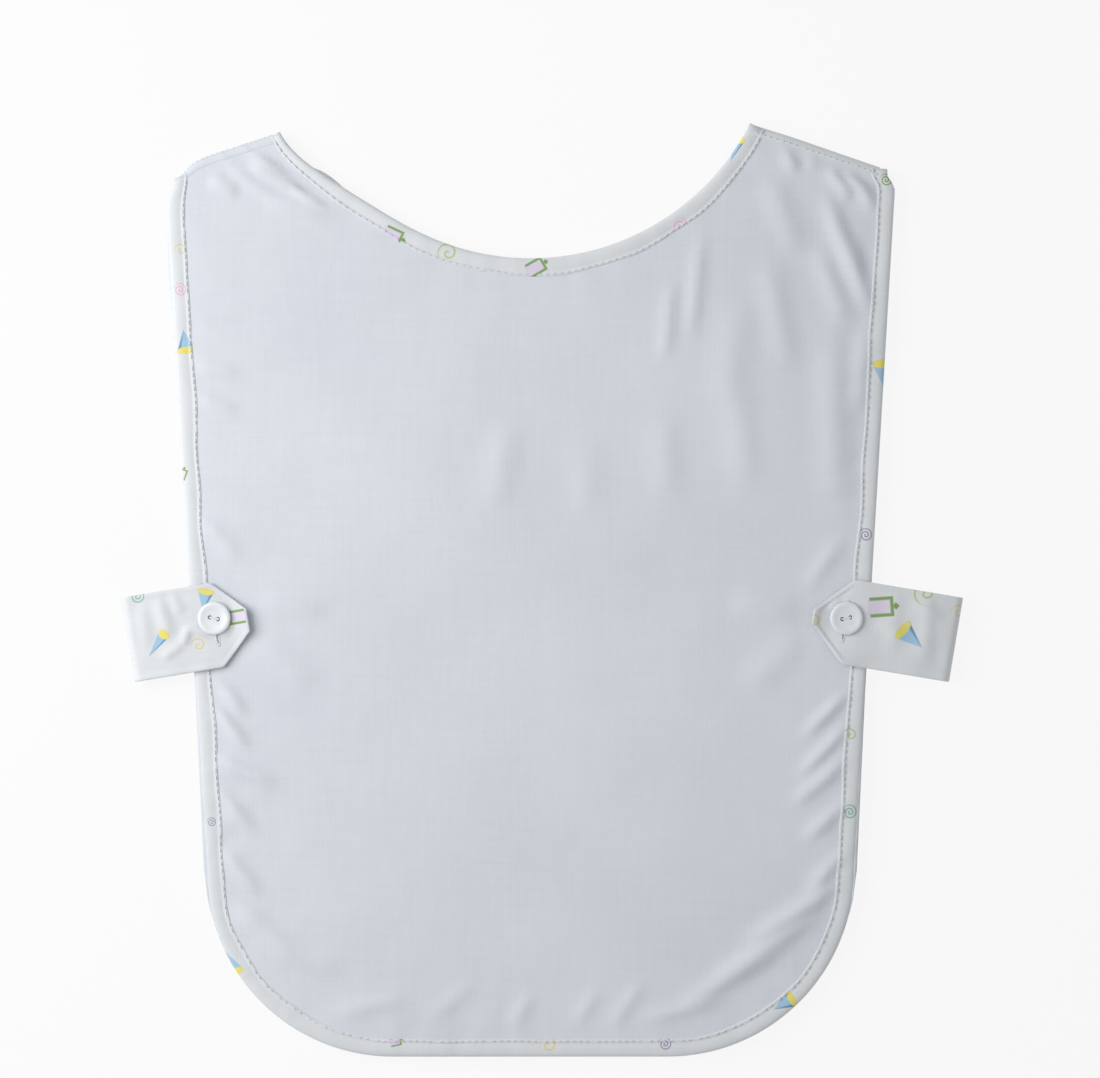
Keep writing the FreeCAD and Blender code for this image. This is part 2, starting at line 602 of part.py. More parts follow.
def make_button(name, sign):
    """Two-hole button, the thread through it, and the wound thread under it."""
    place = {
        "x": f"{MIDDLE_X} + {sign} * Sizes.button_middle",
        "y": f"{HEM_Y} + Sizes.button_up",
    }
    turned = dict(place, turn=f"{sign} * Sizes.button_turn * 1deg")

    button = make_body(f"{name}_button", **turned)
    profile = make_sketch(button, "profile", role="XZ_Plane")
    button_profile(profile)
    profile.setExpression("AttachmentOffset.Base.y", BUTTON_BASE)
    turn = button.newObject("PartDesign::Revolution", f"{button.Name}_turn")
    turn.Profile = profile
    turn.ReferenceAxis = (profile, ["V_Axis"])
    turn.Angle = 360
    holes = make_sketch(button, "holes", lift=BUTTON_BASE)
    add_pair_of_circles(holes, "Sizes.hole_diameter")
    cut_up(button, holes, "Sizes.button_thickness")

    thread = make_body(f"{name}_button_thread", **turned)
    strands = make_sketch(thread, "strands", lift=BUTTON_BASE)
    add_pair_of_circles(strands, STRAND)
    rise = "(Sizes.button_thickness - Sizes.dish_depth)"
    pad(thread, strands, f"{rise} + Sizes.bridge_height")
    bridge = make_sketch(thread, "bridge", lift=f"{BUTTON_BASE} + {rise}")
    end = "(Sizes.hole_spacing / 2)"
    side = f"({STRAND} / 2)"
    polygon(bridge, [(f"-{end}", f"-{side}"), (end, f"-{side}"), (end, side), (f"-{end}", side)])
    pad(thread, bridge, "Sizes.bridge_height")

    shank = make_body(f"{name}_button_shank", **place)
    foot = f"({BACK_TOP} - Sizes.binding_cloth)"
    round_plan = make_sketch(shank, "round", lift=foot)
    normal = FreeCAD.Vector(0, 0, 1)
    start = Part.Circle(FreeCAD.Vector(0, 0, 0), normal, size["shank_diameter"] / 2)
    circle = round_plan.addGeometry(start)
    hold_point(round_plan, "middle", circle, 3, "0", "0")
    drive(round_plan, "radius", "Sizes.shank_diameter / 2", "Radius", circle)
    pad(shank, round_plan, f"{BUTTON_BASE} - Sizes.shank_play - {foot}")


# ---------------------------------------------------------------- the apron
SIDES = (("left", -1), ("right", 1))

make_front()
make_back()
for side_name, side_sign in SIDES:
    make_shoulder(side_name, side_sign)
    make_tab(side_name, side_sign)
    make_button(side_name, side_sign)
doc.recompute()

# ---------------------------------------------------------------- checks and files
for item in doc.Objects:
    if {"Invalid", "Error"} & set(item.State):
        raise RuntimeError(f"{item.Name} failed: {item.State}")
for item in doc.findObjects("Sketcher::SketchObject"):
    if not item.FullyConstrained:
        raise RuntimeError(f"{item.Name} is not fully constrained")
for cut in cuts:
    if cut.Shape.Volume > cut.BaseFeature.Shape.Volume - 1e-3:
        raise RuntimeError(f"{cut.Name} removes nothing")
for body in nodes:
    if body.Shape.isNull() or not body.Shape.isValid() or len(body.Shape.Solids) != 1:
        raise RuntimeError(f"{body.Label} is not one valid solid")

os.makedirs("parts", exist_ok=True)
for body in nodes:
    body.Shape.exportStep(f"parts/{body.Label}.step")
box = Part.makeCompound([body.Shape for body in nodes]).BoundBox
print(f"{len(nodes)} nodes, {box.XLength:.2f} x {box.YLength:.2f} x {box.ZLength:.2f} mm")
print(f"X {box.XMin:.2f} {box.XMax:.2f}  Y {box.YMin:.2f} {box.YMax:.2f}  Z {box.ZMin:.2f} {box.ZMax:.2f}")
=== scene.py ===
# %% [markdown]
# # A child's pull-over apron, laid flat with its back up
#
# The apron is two panels of cotton joined by a fold at each shoulder. A printed binding is rolled
# round every edge and stitched down, and a short tab on each side folds over and buttons on the
# back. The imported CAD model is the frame: it says where each layer lies, so this lesson only has
# to say how the cloth looks. Places are in millimetres from the middle of the lower edge.

# %% Load the frame
import functools
import json
import math
import bmesh
import bpy
from mathutils import Matrix, Vector, noise

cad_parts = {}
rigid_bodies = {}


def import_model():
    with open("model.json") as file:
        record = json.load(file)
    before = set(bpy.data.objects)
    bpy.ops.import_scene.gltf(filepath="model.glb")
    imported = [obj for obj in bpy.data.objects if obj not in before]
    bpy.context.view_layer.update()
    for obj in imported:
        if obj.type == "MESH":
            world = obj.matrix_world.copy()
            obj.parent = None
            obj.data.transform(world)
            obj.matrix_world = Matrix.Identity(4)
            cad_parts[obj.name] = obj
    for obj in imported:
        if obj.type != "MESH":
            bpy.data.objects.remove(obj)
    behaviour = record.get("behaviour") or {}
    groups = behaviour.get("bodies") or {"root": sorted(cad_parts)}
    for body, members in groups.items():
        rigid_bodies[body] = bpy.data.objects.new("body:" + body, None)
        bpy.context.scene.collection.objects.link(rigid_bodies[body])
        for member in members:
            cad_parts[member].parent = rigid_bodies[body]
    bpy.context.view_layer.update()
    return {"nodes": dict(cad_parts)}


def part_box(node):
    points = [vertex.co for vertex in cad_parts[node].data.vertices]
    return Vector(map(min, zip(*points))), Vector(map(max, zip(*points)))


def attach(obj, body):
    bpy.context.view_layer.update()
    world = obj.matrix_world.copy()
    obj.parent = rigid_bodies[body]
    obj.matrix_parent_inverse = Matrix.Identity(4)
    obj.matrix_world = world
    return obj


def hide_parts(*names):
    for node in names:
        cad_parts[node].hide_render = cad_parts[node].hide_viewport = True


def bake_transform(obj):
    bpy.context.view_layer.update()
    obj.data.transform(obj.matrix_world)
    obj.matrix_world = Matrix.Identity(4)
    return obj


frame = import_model()
MM = 0.001

# %% [markdown]
# ## Camera
#
# The camera hangs straight above the apron with a long lens, as a person photographs clothes on a
# table. A long lens keeps the edges of the cloth from leaning outwards.

# %% Hang the camera above the table
LENS = 110
SENSOR = 36
FIELD = 500.5
AIM = Vector((3.7, 23.2, 7.0))


def put_in_scene(name, data):
    """An object of this name for a mesh, a camera or a light."""
    made = bpy.data.objects.new(name, data)
    bpy.context.scene.collection.objects.link(made)
    return made


camera_data = bpy.data.cameras.new("table_camera")
camera_data.lens = LENS
camera_data.sensor_width = SENSOR
camera = put_in_scene("table_camera", camera_data)
camera.location = (AIM + Vector((0, 0, FIELD * LENS / SENSOR))) * MM
bpy.context.scene.camera = camera
print("camera height in metres:", round(camera.location.z, 3))

# %% [markdown]
# ## Sizes read from the frame
#
# The bindings' boxes say where the apron lies, how long it is and how deep each neckline dips. The
# corners, the round hem and the taper are the paper pattern's. A neckline is one arc through its
# two tips and its lowest point, so its radius follows from those.

# %% Read the outline's sizes
edge_low, edge_high = (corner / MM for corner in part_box("back_edge_binding"))
neck_low, neck_high = (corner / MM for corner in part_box("back_neck_binding"))
front_neck_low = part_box("front_neck_binding")[0] / MM
MIDDLE = (edge_low.x + edge_high.x) / 2
HEM = edge_low.y
LENGTH = neck_high.y - HEM
TIP = 100.0
CORNER = Vector((166.6, 404.0))
HEM_RADIUS = 85.0
HEM_HALF = 62.5
TAPER = math.radians(3.4)
BINDING = 8.0
PANEL_INSET = 3.0
BACK = edge_low.z
FRONT = 0.0


def neckline(bottom):
    """Radius and centre height of the arc through both neck tips and this lowest point."""
    depth = LENGTH - bottom
    radius = (TIP * TIP + depth * depth) / (2 * depth)
    return radius, bottom + radius


def on_table(x, y, z):
    """A place on the apron, in millimetres, as a point of the frame, in metres."""
    return Vector((x + MIDDLE, y + HEM, z)) * MM


BACK_NECK, BACK_NECK_CENTRE = neckline(neck_low.y - HEM + BINDING)
FRONT_NECK, FRONT_NECK_CENTRE = neckline(front_neck_low.y - HEM + BINDING)
print("length", round(LENGTH, 1), "neck radii", round(BACK_NECK, 1), round(FRONT_NECK, 1))

# %% [markdown]
# ## Seams as routes
#
# The binding, its stitches and the puckers beside it all follow the same lines, so each line is
# made once, as points three millimetres apart with the way in to the cloth at each point. A binding
# is rolled by hand, so that way in is a little longer or shorter from place to place.

# %% Routes along the edges
STEP = 3.0


def straight(start, end):
    """Points from start up to, but not with, end."""
    count = max(1, round((end - start).length / STEP))
    return [start.lerp(end, i / count) for i in range(count)]


def arc(centre, radius, start, end):
    """Points of an arc, its angles in radians, without its last point."""
    count = max(1, round(abs(end - start) * radius / STEP))
    angles = [start + (end - start) * i / count for i in range(count)]
    return [centre + radius * Vector((math.cos(a), math.sin(a))) for a in angles]


def wander(x, y, size, seed):
    """A smooth random value from about -1 to 1 that changes over this many millimetres."""
    return noise.noise(Vector((x / size, y / size, seed)))


def bell(off, reach, power=2):
    """1 where off is nought, falling to nothing beyond about twice this reach."""
    return math.exp(-(abs(off) / reach) ** power)


def near_to(x, y, spot, reach):
    """1 at the spot, falling away all round it."""
    return bell(math.hypot(x - spot.x, y - spot.y), reach)


ROLL_UNEVEN = 0.14
ROLL_WAVE = 24.0
ROLL_UNDER_REACH = 26.0
LEFT_TIP = Vector((-TIP, LENGTH))
LEFT_CORNER = Vector((-CORNER.x, CORNER.y))


def with_ways_in(points, side, rolled_under=0.0):
    """Each point with the way in to the cloth, on the left (1) or right (-1) of the route. It is
    a little shorter or longer than 1, as the roll is uneven, and short where it rolls under."""
    route = []
    for i, point in enumerate(points):
        along = points[min(i + 1, len(points) - 1)] - points[max(i - 1, 0)]
        along.normalize()
        width = 1 + ROLL_UNEVEN * wander(point.x, point.y, ROLL_WAVE, 21.0)
        width *= 1 - rolled_under * near_to(point.x, point.y, LEFT_TIP, ROLL_UNDER_REACH)
        route.append((point, Vector((-along.y, along.x)) * side * width))
    return route


def edge_route():
    """Down the left side, round the lower edge and up the right side."""
    left = Vector((-HEM_HALF, HEM_RADIUS))
    right = Vector((HEM_HALF, HEM_RADIUS))
    lower = left + HEM_RADIUS * Vector((-math.cos(TAPER), -math.sin(TAPER)))
    points = straight(LEFT_CORNER, lower)
    points += arc(left, HEM_RADIUS, math.pi + TAPER, 1.5 * math.pi)
    points += straight(Vector((-HEM_HALF, 0)), Vector((HEM_HALF, 0)))
    points += arc(right, HEM_RADIUS, 1.5 * math.pi, 2 * math.pi - TAPER)
    points += straight(Vector((-lower.x, lower.y)), CORNER)
    points.append(CORNER.copy())
    return with_ways_in(points, 1)


def neck_route(radius, centre, rolled_under):
    """From the left neck tip down round the neckline to the right tip."""
    reach = math.asin(TIP / radius)
    points = arc(Vector((0, centre)), radius, -math.pi / 2 - reach, -math.pi / 2 + reach)
    points.append(Vector((TIP, LENGTH)))
    return with_ways_in(points, -1, rolled_under)


def shoulder_route(side):
    """From the neck tip out to the shoulder corner."""
    corner = Vector((side * CORNER.x, CORNER.y))
    points = straight(Vector((side * TIP, LENGTH)), corner)
    points.append(corner)
    return with_ways_in(points, -side)


EDGE = edge_route()
BACK_ROLLED_UNDER = 0.4
BACK_NECKLINE = neck_route(BACK_NECK, BACK_NECK_CENTRE, BACK_ROLLED_UNDER)
FRONT_NECKLINE = neck_route(FRONT_NECK, FRONT_NECK_CENTRE, 0.0)
print("points: edge", len(EDGE), "neck", len(BACK_NECKLINE))

# %% [markdown]
# ## How the cloth lies
#
# Cotton laid on a table is never quite flat. Three things lift it: long soft creases where it was
# folded or pulled, a slow swell all over, and small puckers where the stitching draws the cloth
# up. A layer also slips sideways at its corners. The whole back layer, its binding and its stitches
# use the same heights and slips, so nothing parts.

# %% Creases, swell and puckers
# x and y of each crease's start and end, its width and its height
CREASES = [
    (-125, 418, -99, 404, 2.2, 2), (-119, 408, -94, 396, 2.4, 1.8), (-140, 413, -129, 407, 2.4, 1.4),
    (-144, 400, -129, 394, 4, 1.2), (-101, 395, -89, 389, 2, 1.2), (-115, 391, -87, 384, 5, 1),
    (-132, 405, -109, 392, 4, 0.9), (114, 420, 121, 401, 2.6, 1.6), (128, 413, 131, 404, 3, 1.1),
    (138, 404, 146, 389, 3, 1.4), (146, 403, 158, 384, 3, 1.6), (135, 390, 151, 346, 4, 1.8),
    (131, 367, 145, 331, 5, 1.2), (109, 399, 123, 363, 6, 1), (77, 372, 73, 324, 3, 1),
    (64, 351, 61, 315, 3, 1), (95, 344, 87, 290, 8, 1), (108, 363, 118, 308, 6, 1),
    (145, 372, 157, 331, 3.5, 1), (-10, 288, -17, 247, 7, 0.8), (26, 281, 25, 244, 7, 0.6),
    (60, 292, 63, 251, 7, 0.9), (93, 308, 99, 253, 7, 0.9), (137, 331, 139, 244, 7, 1.2),
    (153, 331, 149, 290, 4, 0.9), (141, 235, 125, 212, 4, 0.8), (146, 167, 123, 145, 3, 1.3),
    (146, 152, 121, 127, 3, 1.2), (146, 137, 118, 114, 3.5, 1.3), (146, 117, 123, 98, 3.5, 1.2),
    (146, 96, 125, 74, 3.5, 1.2), (140, 78, 95, 50, 4, 1.7), (128, 63, 80, 33, 4, 1.6),
    (114, 49, 66, 22, 4, 1.3), (86, 26, 50, 17, 3.5, 0.9), (50, 33, 37, 13, 3, 0.7),
    (30, 30, 20, 13, 3, 0.6), (0, 28, -8, 13, 3, 0.6), (-27, 33, -46, 17, 4, 0.6),
    (-59, 26, -91, 20, 4, 0.7), (-87, 40, -118, 49, 5, 0.8), (-145, 175, -129, 155, 3, 1.3),
    (-145, 161, -127, 139, 3, 1.3), (-144, 136, -113, 123, 3.5, 1.2), (-143, 122, -124, 101, 3.5, 1.2),
    (-140, 94, -122, 73, 3.5, 1), (-134, 69, -105, 44, 5, 1.1), (-152, 314, -131, 311, 3, 0.7),
    (-151, 300, -132, 293, 3, 0.7), (-150, 244, -130, 226, 4, 0.8), (-122, 208, -91, 202, 6, 0.8),
    (-124, 190, -96, 167, 7, 0.8), (121, 202, 91, 208, 6, 0.8), (123, 190, 97, 167, 7, 0.8),
]
CREASE_RISE = 1.5
SWELL = 1.2
PUCKER = 0.35
TAB_SIDE = 150.0
TAB_HEIGHT = 190.0
TAB_CALM = 26.0
EDGE_CALM = 14.0
JOG_HEIGHT = 398.5


def crease_height(x, y, creases):
    """How far these long creases lift the cloth here."""
    height = 0.0
    here = Vector((x, y))
    for start_x, start_y, end_x, end_y, width, rise in creases:
        start = Vector((start_x, start_y))
        run = Vector((end_x, end_y)) - start
        share = (here - start).dot(run) / run.length_squared
        if -0.3 < share < 1.3:
            off = (here - start - run * share).length
            height += CREASE_RISE * rise * bell(share - 0.45, 0.42, 4) * bell(off, width)
    return height


def to_side(x, y):
    """How far the place is from the nearer side seam."""
    half = HEM_HALF + HEM_RADIUS + (y - HEM_RADIUS) * math.tan(TAPER)
    if y < HEM_RADIUS and abs(x) > HEM_HALF:
        off = Vector((abs(x) - HEM_HALF, y - HEM_RADIUS)).length
        return HEM_RADIUS - off
    return min(half - abs(x), y)


def pucker_height(x, y):
    """Small waves square to the seams, which die away into the cloth."""
    depth = to_side(x, y)
    to_neck = math.hypot(x, y - BACK_NECK_CENTRE) - BACK_NECK
    along = math.atan2(y - LENGTH / 2, x) * LENGTH / 2
    side = math.sin(along / 3.4 + 2.6 * wander(x, y, 30, 3.0)) * math.exp(-abs(depth - 8) / 12)
    turn = math.atan2(x, BACK_NECK_CENTRE - y) * BACK_NECK
    neck = math.sin(turn / 2.9 + 2.2 * wander(x, y, 26, 5.0)) * math.exp(-abs(to_neck - 8) / 8)
    return PUCKER * (side * (0.5 + wander(x, y, 45, 7.0)) + neck * (0.4 + wander(x, y, 40, 8.0)))


def to_shoulder(x, y):
    """How far the place is below its shoulder's fold."""
    slope = (LENGTH - CORNER.y) / (CORNER.x - TIP)
    return (LENGTH - (abs(x) - TIP) * slope - y) * math.cos(math.atan(slope))


def lift(x, y):
    """Height of the back layer above where it would lie quite flat."""
    swell = SWELL * (0.55 + 0.6 * wander(x, y, 70, 1.0) + 0.25 * wander(x, y, 28, 2.0))
    height = max(swell, 0.0) * 0.7 + crease_height(x, y, CREASES) + pucker_height(x, y)
    near_edge = min(1.0, max(0.0, to_side(x, y) / EDGE_CALM))
    height *= 0.25 + 0.75 * near_edge
    height *= min(1.0, max(0.12, (to_shoulder(x, y) - 4.0) / 8.0))
    tab = bell(math.hypot(abs(x) - TAB_SIDE, y - TAB_HEIGHT), TAB_CALM, 4)
    return max(height, 0.0) * (1 - tab)


def drift(x, y):
    """How far the left shoulder has slipped, its corner rolled in and the right corner jogged."""
    slip = Vector((-14.0, -4.0)) * near_to(x, y, LEFT_TIP, 34.0)
    slip += Vector((4.5, -4.0)) * near_to(x, y, LEFT_CORNER, 11.0)
    jog = 1 / (1 + math.exp(JOG_HEIGHT - y))
    slip.x -= 4.0 * jog * max(0.0, (x - 120) / 46)
    return slip


def front_drift(x, y):
    """How far the front layer has slipped under the back at its four upper corners."""
    slip = Vector((-4.9, -1.4)) * near_to(x, y, LEFT_TIP, 34.0)
    slip += Vector((-12.0, -12.0)) * near_to(x, y, LEFT_TIP, 15.0)
    slip += Vector((6.0, -8.0)) * near_to(x, y, LEFT_CORNER, 12.0)
    slip += Vector((-7.0, -8.0)) * near_to(x, y, CORNER, 9.0)
    return slip


def back_layer(x, y, z):
    """A point of the back layer, z above its underside."""
    slip = drift(x, y)
    return on_table(x + slip.x, y + slip.y, BACK + z + lift(x, y))


def front_layer(x, y, z):
    """A point of the front layer, which lies on the table under the back."""
    slip = front_drift(x, y)
    peek = -2.8 * bell(y - 358, 34) * max(0.0, -x / CORNER.x) ** 6
    return on_table(x + slip.x + peek, y + slip.y, FRONT + z)


print("lift at the middle:", round(lift(0, 200), 2), "mm")

# %% [markdown]
# ## Building cloth from a grid
#
# Every cloth piece starts as a flat grid, as cloth comes off the loom, and each of its points is
# then laid in place. A binding is the same grid with its width rolled round the edge. Closing a
# roll merges its two long sides and fills its ends.

# %% Grid helpers
MERGE = 0.01


def laid_grid(bm, across, along, place):
    """A grid whose point in column i and row j goes where place(i, j) says."""
    bmesh.ops.create_grid(bm, x_segments=across, y_segments=along, size=0.5)
    for v in bm.verts:
        column = round((v.co.x + 0.5) * across)
        row = round((v.co.y + 0.5) * along)
        v.co = place(column, row)


def finished(name, bm, *finishes):
    """A smooth object from this bmesh, with these materials."""
    for face in bm.faces:
        face.smooth = True
    mesh = bpy.data.meshes.new(name)
    bm.to_mesh(mesh)
    bm.free()
    for finish in finishes:
        mesh.materials.append(finish)
    return put_in_scene(name, mesh)


def closed_roll(name, across, along, place, finish):
    """A grid rolled up: its two long sides merge where they meet, and its ends are filled."""
    bm = bmesh.new()
    laid_grid(bm, across, along, place)
    bmesh.ops.remove_doubles(bm, verts=bm.verts, dist=MERGE * MM)
    ends = [edge for edge in bm.edges if edge.is_boundary]
    bmesh.ops.holes_fill(bm, edges=ends, sides=0)
    bmesh.ops.recalc_face_normals(bm, faces=bm.faces)
    return finished(name, bm, finish)


print("grid helpers ready")

# %% [markdown]
# ## Finishes
#
# The look of plain cotton comes from three things: a matt surface with a faint bloom at grazing
# light, a weave too fine to count, and slubs, the slightly thicker threads that leave faint
# streaks. Colours are given as sRGB hex values, as a dyer's chart gives them.

# %% Helpers for finishes
def colour(code):
    """An sRGB hex value as the linear colour that a shader needs."""
    parts = [int(code[i:i + 2], 16) / 255 for i in (1, 3, 5)]
    linear = [p / 12.92 if p <= 0.04045 else ((p + 0.055) / 1.055) ** 2.4 for p in parts]
    return (*linear, 1.0)


def fill(tree, node, settings, links):
    """Gives a node its settings and what feeds its sockets."""
    for key, value in settings.items():
        if isinstance(key, str) and key in node.bl_rna.properties:
            setattr(node, key, value)
        else:
            node.inputs[key].default_value = value
    for socket, source in links.items():
        tree.links.new(source, node.inputs[socket])
    return node


def add(tree, kind, settings, links):
    """Adds a node of this kind to the tree and fills it."""
    return fill(tree, tree.nodes.new("ShaderNode" + kind), settings, links)


def calc(tree, operation, *values):
    """A Math node; a number stays in its socket and a link is linked."""
    settings = {"operation": operation}
    links = {}
    for i, value in enumerate(values):
        held = settings if isinstance(value, (int, float)) else links
        held[i] = value
    return add(tree, "Math", settings, links).outputs[0]


def mottle(tree, spot, size, **settings):
    """A soft random pattern that changes over this many millimetres."""
    return add(tree, "TexNoise", {"Scale": 1 / (size * MM), **settings},
               {"Vector": spot}).outputs["Fac"]


def blank(name):
    """A new material with its tree and its Principled shader."""
    finish = bpy.data.materials.new(name)
    finish.use_nodes = True
    return finish, finish.node_tree, finish.node_tree.nodes["Principled BSDF"]


def place_on(tree):
    """Where the shaded point is, in the frame's metres."""
    return add(tree, "TexCoord", {}, {}).outputs["Object"]


print("white:", colour("#ffffff"))

# %% Weave and slubs
# one band of a wave texture at scale 1
WAVE = 0.31416
WEAVE = 0.9
SLUB_LENGTH = 26.0
SLUB_WIDTH = 1.6


def weave(tree, spot):
    """Height of a plain weave, drawn at 0.9 mm because the real 0.35 mm would not show."""
    warp, weft = (add(tree, "TexWave", {"bands_direction": way, "Scale": WAVE / (WEAVE * MM),
                                        "Distortion": 0.6, "Detail Scale": 2.0},
                      {"Vector": spot}).outputs["Fac"] for way in "XY")
    return calc(tree, "MULTIPLY", warp, weft)


def slubs(tree, spot):
    """Faint streaks both ways, from 0 to 1, where a thread is thicker."""
    streaks = []
    thin = SLUB_LENGTH / SLUB_WIDTH
    for long_way in ((1, thin, 1), (thin, 1, 1)):
        stretched = add(tree, "Mapping", {"Scale": long_way}, {"Vector": spot})
        streaks.append(mottle(tree, stretched.outputs[0], SLUB_LENGTH, Detail=3.0))
    return calc(tree, "MULTIPLY", calc(tree, "ADD", *streaks), 0.5)


def cotton(name, pale, shade, printed=None):
    """Woven cotton between two near colours, with an optional print over it."""
    finish, tree, shader = blank(name)
    spot = place_on(tree)
    cloud = mottle(tree, spot, 90, Detail=4.0)
    streaks = calc(tree, "MULTIPLY", slubs(tree, spot), 0.4)
    mixed = calc(tree, "MULTIPLY_ADD", cloud, 0.6, streaks)
    ramp = add(tree, "ValToRGB", {}, {"Fac": mixed})
    for i, (position, code) in enumerate(((0.34, shade), (0.66, pale))):
        ramp.color_ramp.elements[i].position = position
        ramp.color_ramp.elements[i].color = colour(code)
    ground = ramp.outputs["Color"]
    if printed:
        ground = printed(tree, spot, ground)
    fine = add(tree, "Bump", {"Strength": 0.35, "Distance": 0.12 * MM},
               {"Height": weave(tree, spot)})
    crumple = mottle(tree, spot, 11, Detail=3.0, Roughness=0.55)
    soft = add(tree, "Bump", {"Strength": 0.30, "Distance": 0.8 * MM},
               {"Height": crumple, "Normal": fine.outputs[0]})
    fill(tree, shader, {"Roughness": 0.86, "Specular IOR Level": 0.25, "Sheen Weight": 0.12,
                        "Sheen Roughness": 0.5},
         {"Base Color": ground, "Normal": soft.outputs[0]})
    return finish


plain_cotton = cotton("plain_weave_cotton_pale_blue", "#dadee5", "#d1d6de")
lining_cotton = cotton("plain_weave_cotton_off_white", "#dfe0e3", "#d6d8dc")
print("plain finishes:", plain_cotton.name, lining_cotton.name)

# %% [markdown]
# ## A party print
#
# The white cotton is screen-printed with small cones, boxes and curls. Each motif is a node group
# that draws itself in millimetres round its own centre, so one group serves every place where the
# motif shows. Ink soaks into cotton, so its edge is soft and a little of the cloth shows through.

# %% Motif groups
SOFT = 0.35
CURL_RADIUS = 3.7
BLUE = colour("#9cc3df")
DARK_BLUE = colour("#4f86b4")
YELLOW = colour("#e9dc5c")
GREEN = colour("#6f9d3a")
LILAC = colour("#dccbe6")


def motif(name):
    """A group that is fed a place, turn and size: its tree, its sum and edge makers and sockets."""
    tree = bpy.data.node_groups.new(name, "ShaderNodeTree")
    for socket, kind in (("Vector", "Vector"), ("Place", "Vector"), ("Turn", "Vector"),
                         ("Size", "Vector"), ("Ink", "Color")):
        tree.interface.new_socket(socket, in_out="INPUT", socket_type="NodeSocket" + kind)
    for socket, kind in (("Colour", "Color"), ("Cover", "Float")):
        tree.interface.new_socket(socket, in_out="OUTPUT", socket_type="NodeSocket" + kind)
    fed = tree.nodes.new("NodeGroupInput")
    own = add(tree, "Mapping", {"vector_type": "TEXTURE"},
              {"Vector": fed.outputs["Vector"], "Location": fed.outputs["Place"],
               "Rotation": fed.outputs["Turn"], "Scale": fed.outputs["Size"]})
    axes = add(tree, "SeparateXYZ", {}, {0: own.outputs[0]})
    do = functools.partial(calc, tree)
    soft = functools.partial(inside, tree)
    return tree, do, soft, fed.outputs["Ink"], axes.outputs["X"], axes.outputs["Y"]


def drawn(tree, ink, cover):
    """A motif's group, once it gives its colour and how much it covers."""
    fill(tree, tree.nodes.new("NodeGroupOutput"), {}, {"Colour": ink, "Cover": cover})
    return tree


def inside(tree, distance, soft=SOFT):
    """1 where the distance is above nought, softly."""
    return add(tree, "MapRange", {"From Min": -soft, "From Max": soft,
                                  "interpolation_type": "SMOOTHSTEP"},
               {"Value": distance}).outputs[0]


def tint(tree, share, under, over):
    """Mixes over on top of under by this share."""
    made = add(tree, "Mix", {"data_type": "RGBA"}, {"Factor": share})
    for socket, value in ((6, under), (7, over)):
        if isinstance(value, tuple):
            made.inputs[socket].default_value = value
        else:
            tree.links.new(value, made.inputs[socket])
    return made.outputs[2]


def cone_motif():
    """A blue cone 11 mm tall with a yellow oval foot."""
    tree, do, soft, ink, x, y = motif("printed_cone")
    wide = do("MULTIPLY_ADD", y, -0.42, 4.7)
    flank = do("SUBTRACT", wide, do("ABSOLUTE", x))
    cone = do("MULTIPLY", soft(flank), soft(y))
    shady = do("ADD", x, do("MULTIPLY", wide, 0.62))
    dark = soft(do("MULTIPLY", shady, -1), 0.6)
    squares = [do("POWER", do("DIVIDE", axis, half), 2) for axis, half in ((y, 1.9), (x, 4.9))]
    foot = soft(do("SUBTRACT", 1.0, do("ADD", *squares)), 0.25)
    inked = tint(tree, foot, tint(tree, dark, BLUE, DARK_BLUE), YELLOW)
    return drawn(tree, inked, do("MAXIMUM", cone, foot))


def box_motif():
    """A green box outline, open on one short side, with a lilac middle and a small knot."""
    tree, do, soft, ink, x, y = motif("printed_box")
    far_up = do("ABSOLUTE", y)
    across = do("SUBTRACT", do("ABSOLUTE", x), 5.0)
    edge = do("MAXIMUM", across, do("SUBTRACT", far_up, 3.4))
    middle = soft(do("MULTIPLY", edge, -1))
    line = soft(do("SUBTRACT", 0.75, do("ABSOLUTE", edge)))
    line = do("MULTIPLY", line, soft(do("ADD", x, 4.1)))
    to_knot = do("ABSOLUTE", do("SUBTRACT", x, 6.6))
    knot = do("SUBTRACT", 1.6, do("ADD", to_knot, far_up))
    line = do("MAXIMUM", line, soft(knot))
    cover = do("MAXIMUM", line, do("MULTIPLY", middle, 0.75))
    return drawn(tree, tint(tree, line, LILAC, GREEN), cover)


def curl_motif(name, pitch, width):
    """A thin curl of ribbon: a spiral with this far from turn to turn, in any ink."""
    tree, do, soft, ink, x, y = motif(name)
    squares = (do("POWER", axis, 2) for axis in (x, y))
    radius = do("SQRT", do("ADD", *squares))
    turned = do("DIVIDE", do("ARCTAN2", y, x), 2 * math.pi)
    wound = do("SUBTRACT", do("DIVIDE", radius, pitch), turned)
    off = do("MULTIPLY", do("PINGPONG", wound, 0.5), pitch)
    line = soft(do("SUBTRACT", width, off), 0.25)
    within = soft(do("SUBTRACT", CURL_RADIUS, radius), 0.25)
    return drawn(tree, ink, do("MULTIPLY", line, within))


CONE = cone_motif()
MOTIFS = {
    "cone": CONE,
    "slim cone": CONE,
    "box": box_motif(),
    "curl": curl_motif("printed_curl", 2.6, 0.28),
    "scribble": curl_motif("printed_scribble", 1.7, 0.34),
}
print("motifs:", sorted(MOTIFS))

# %% Where the print shows
PINK = colour("#e3b3cb")
OCHRE = colour("#dfc767")
LEAF = colour("#a9c65a")
PURPLE = colour("#8e83ad")
TEAL = colour("#7fb5a6")
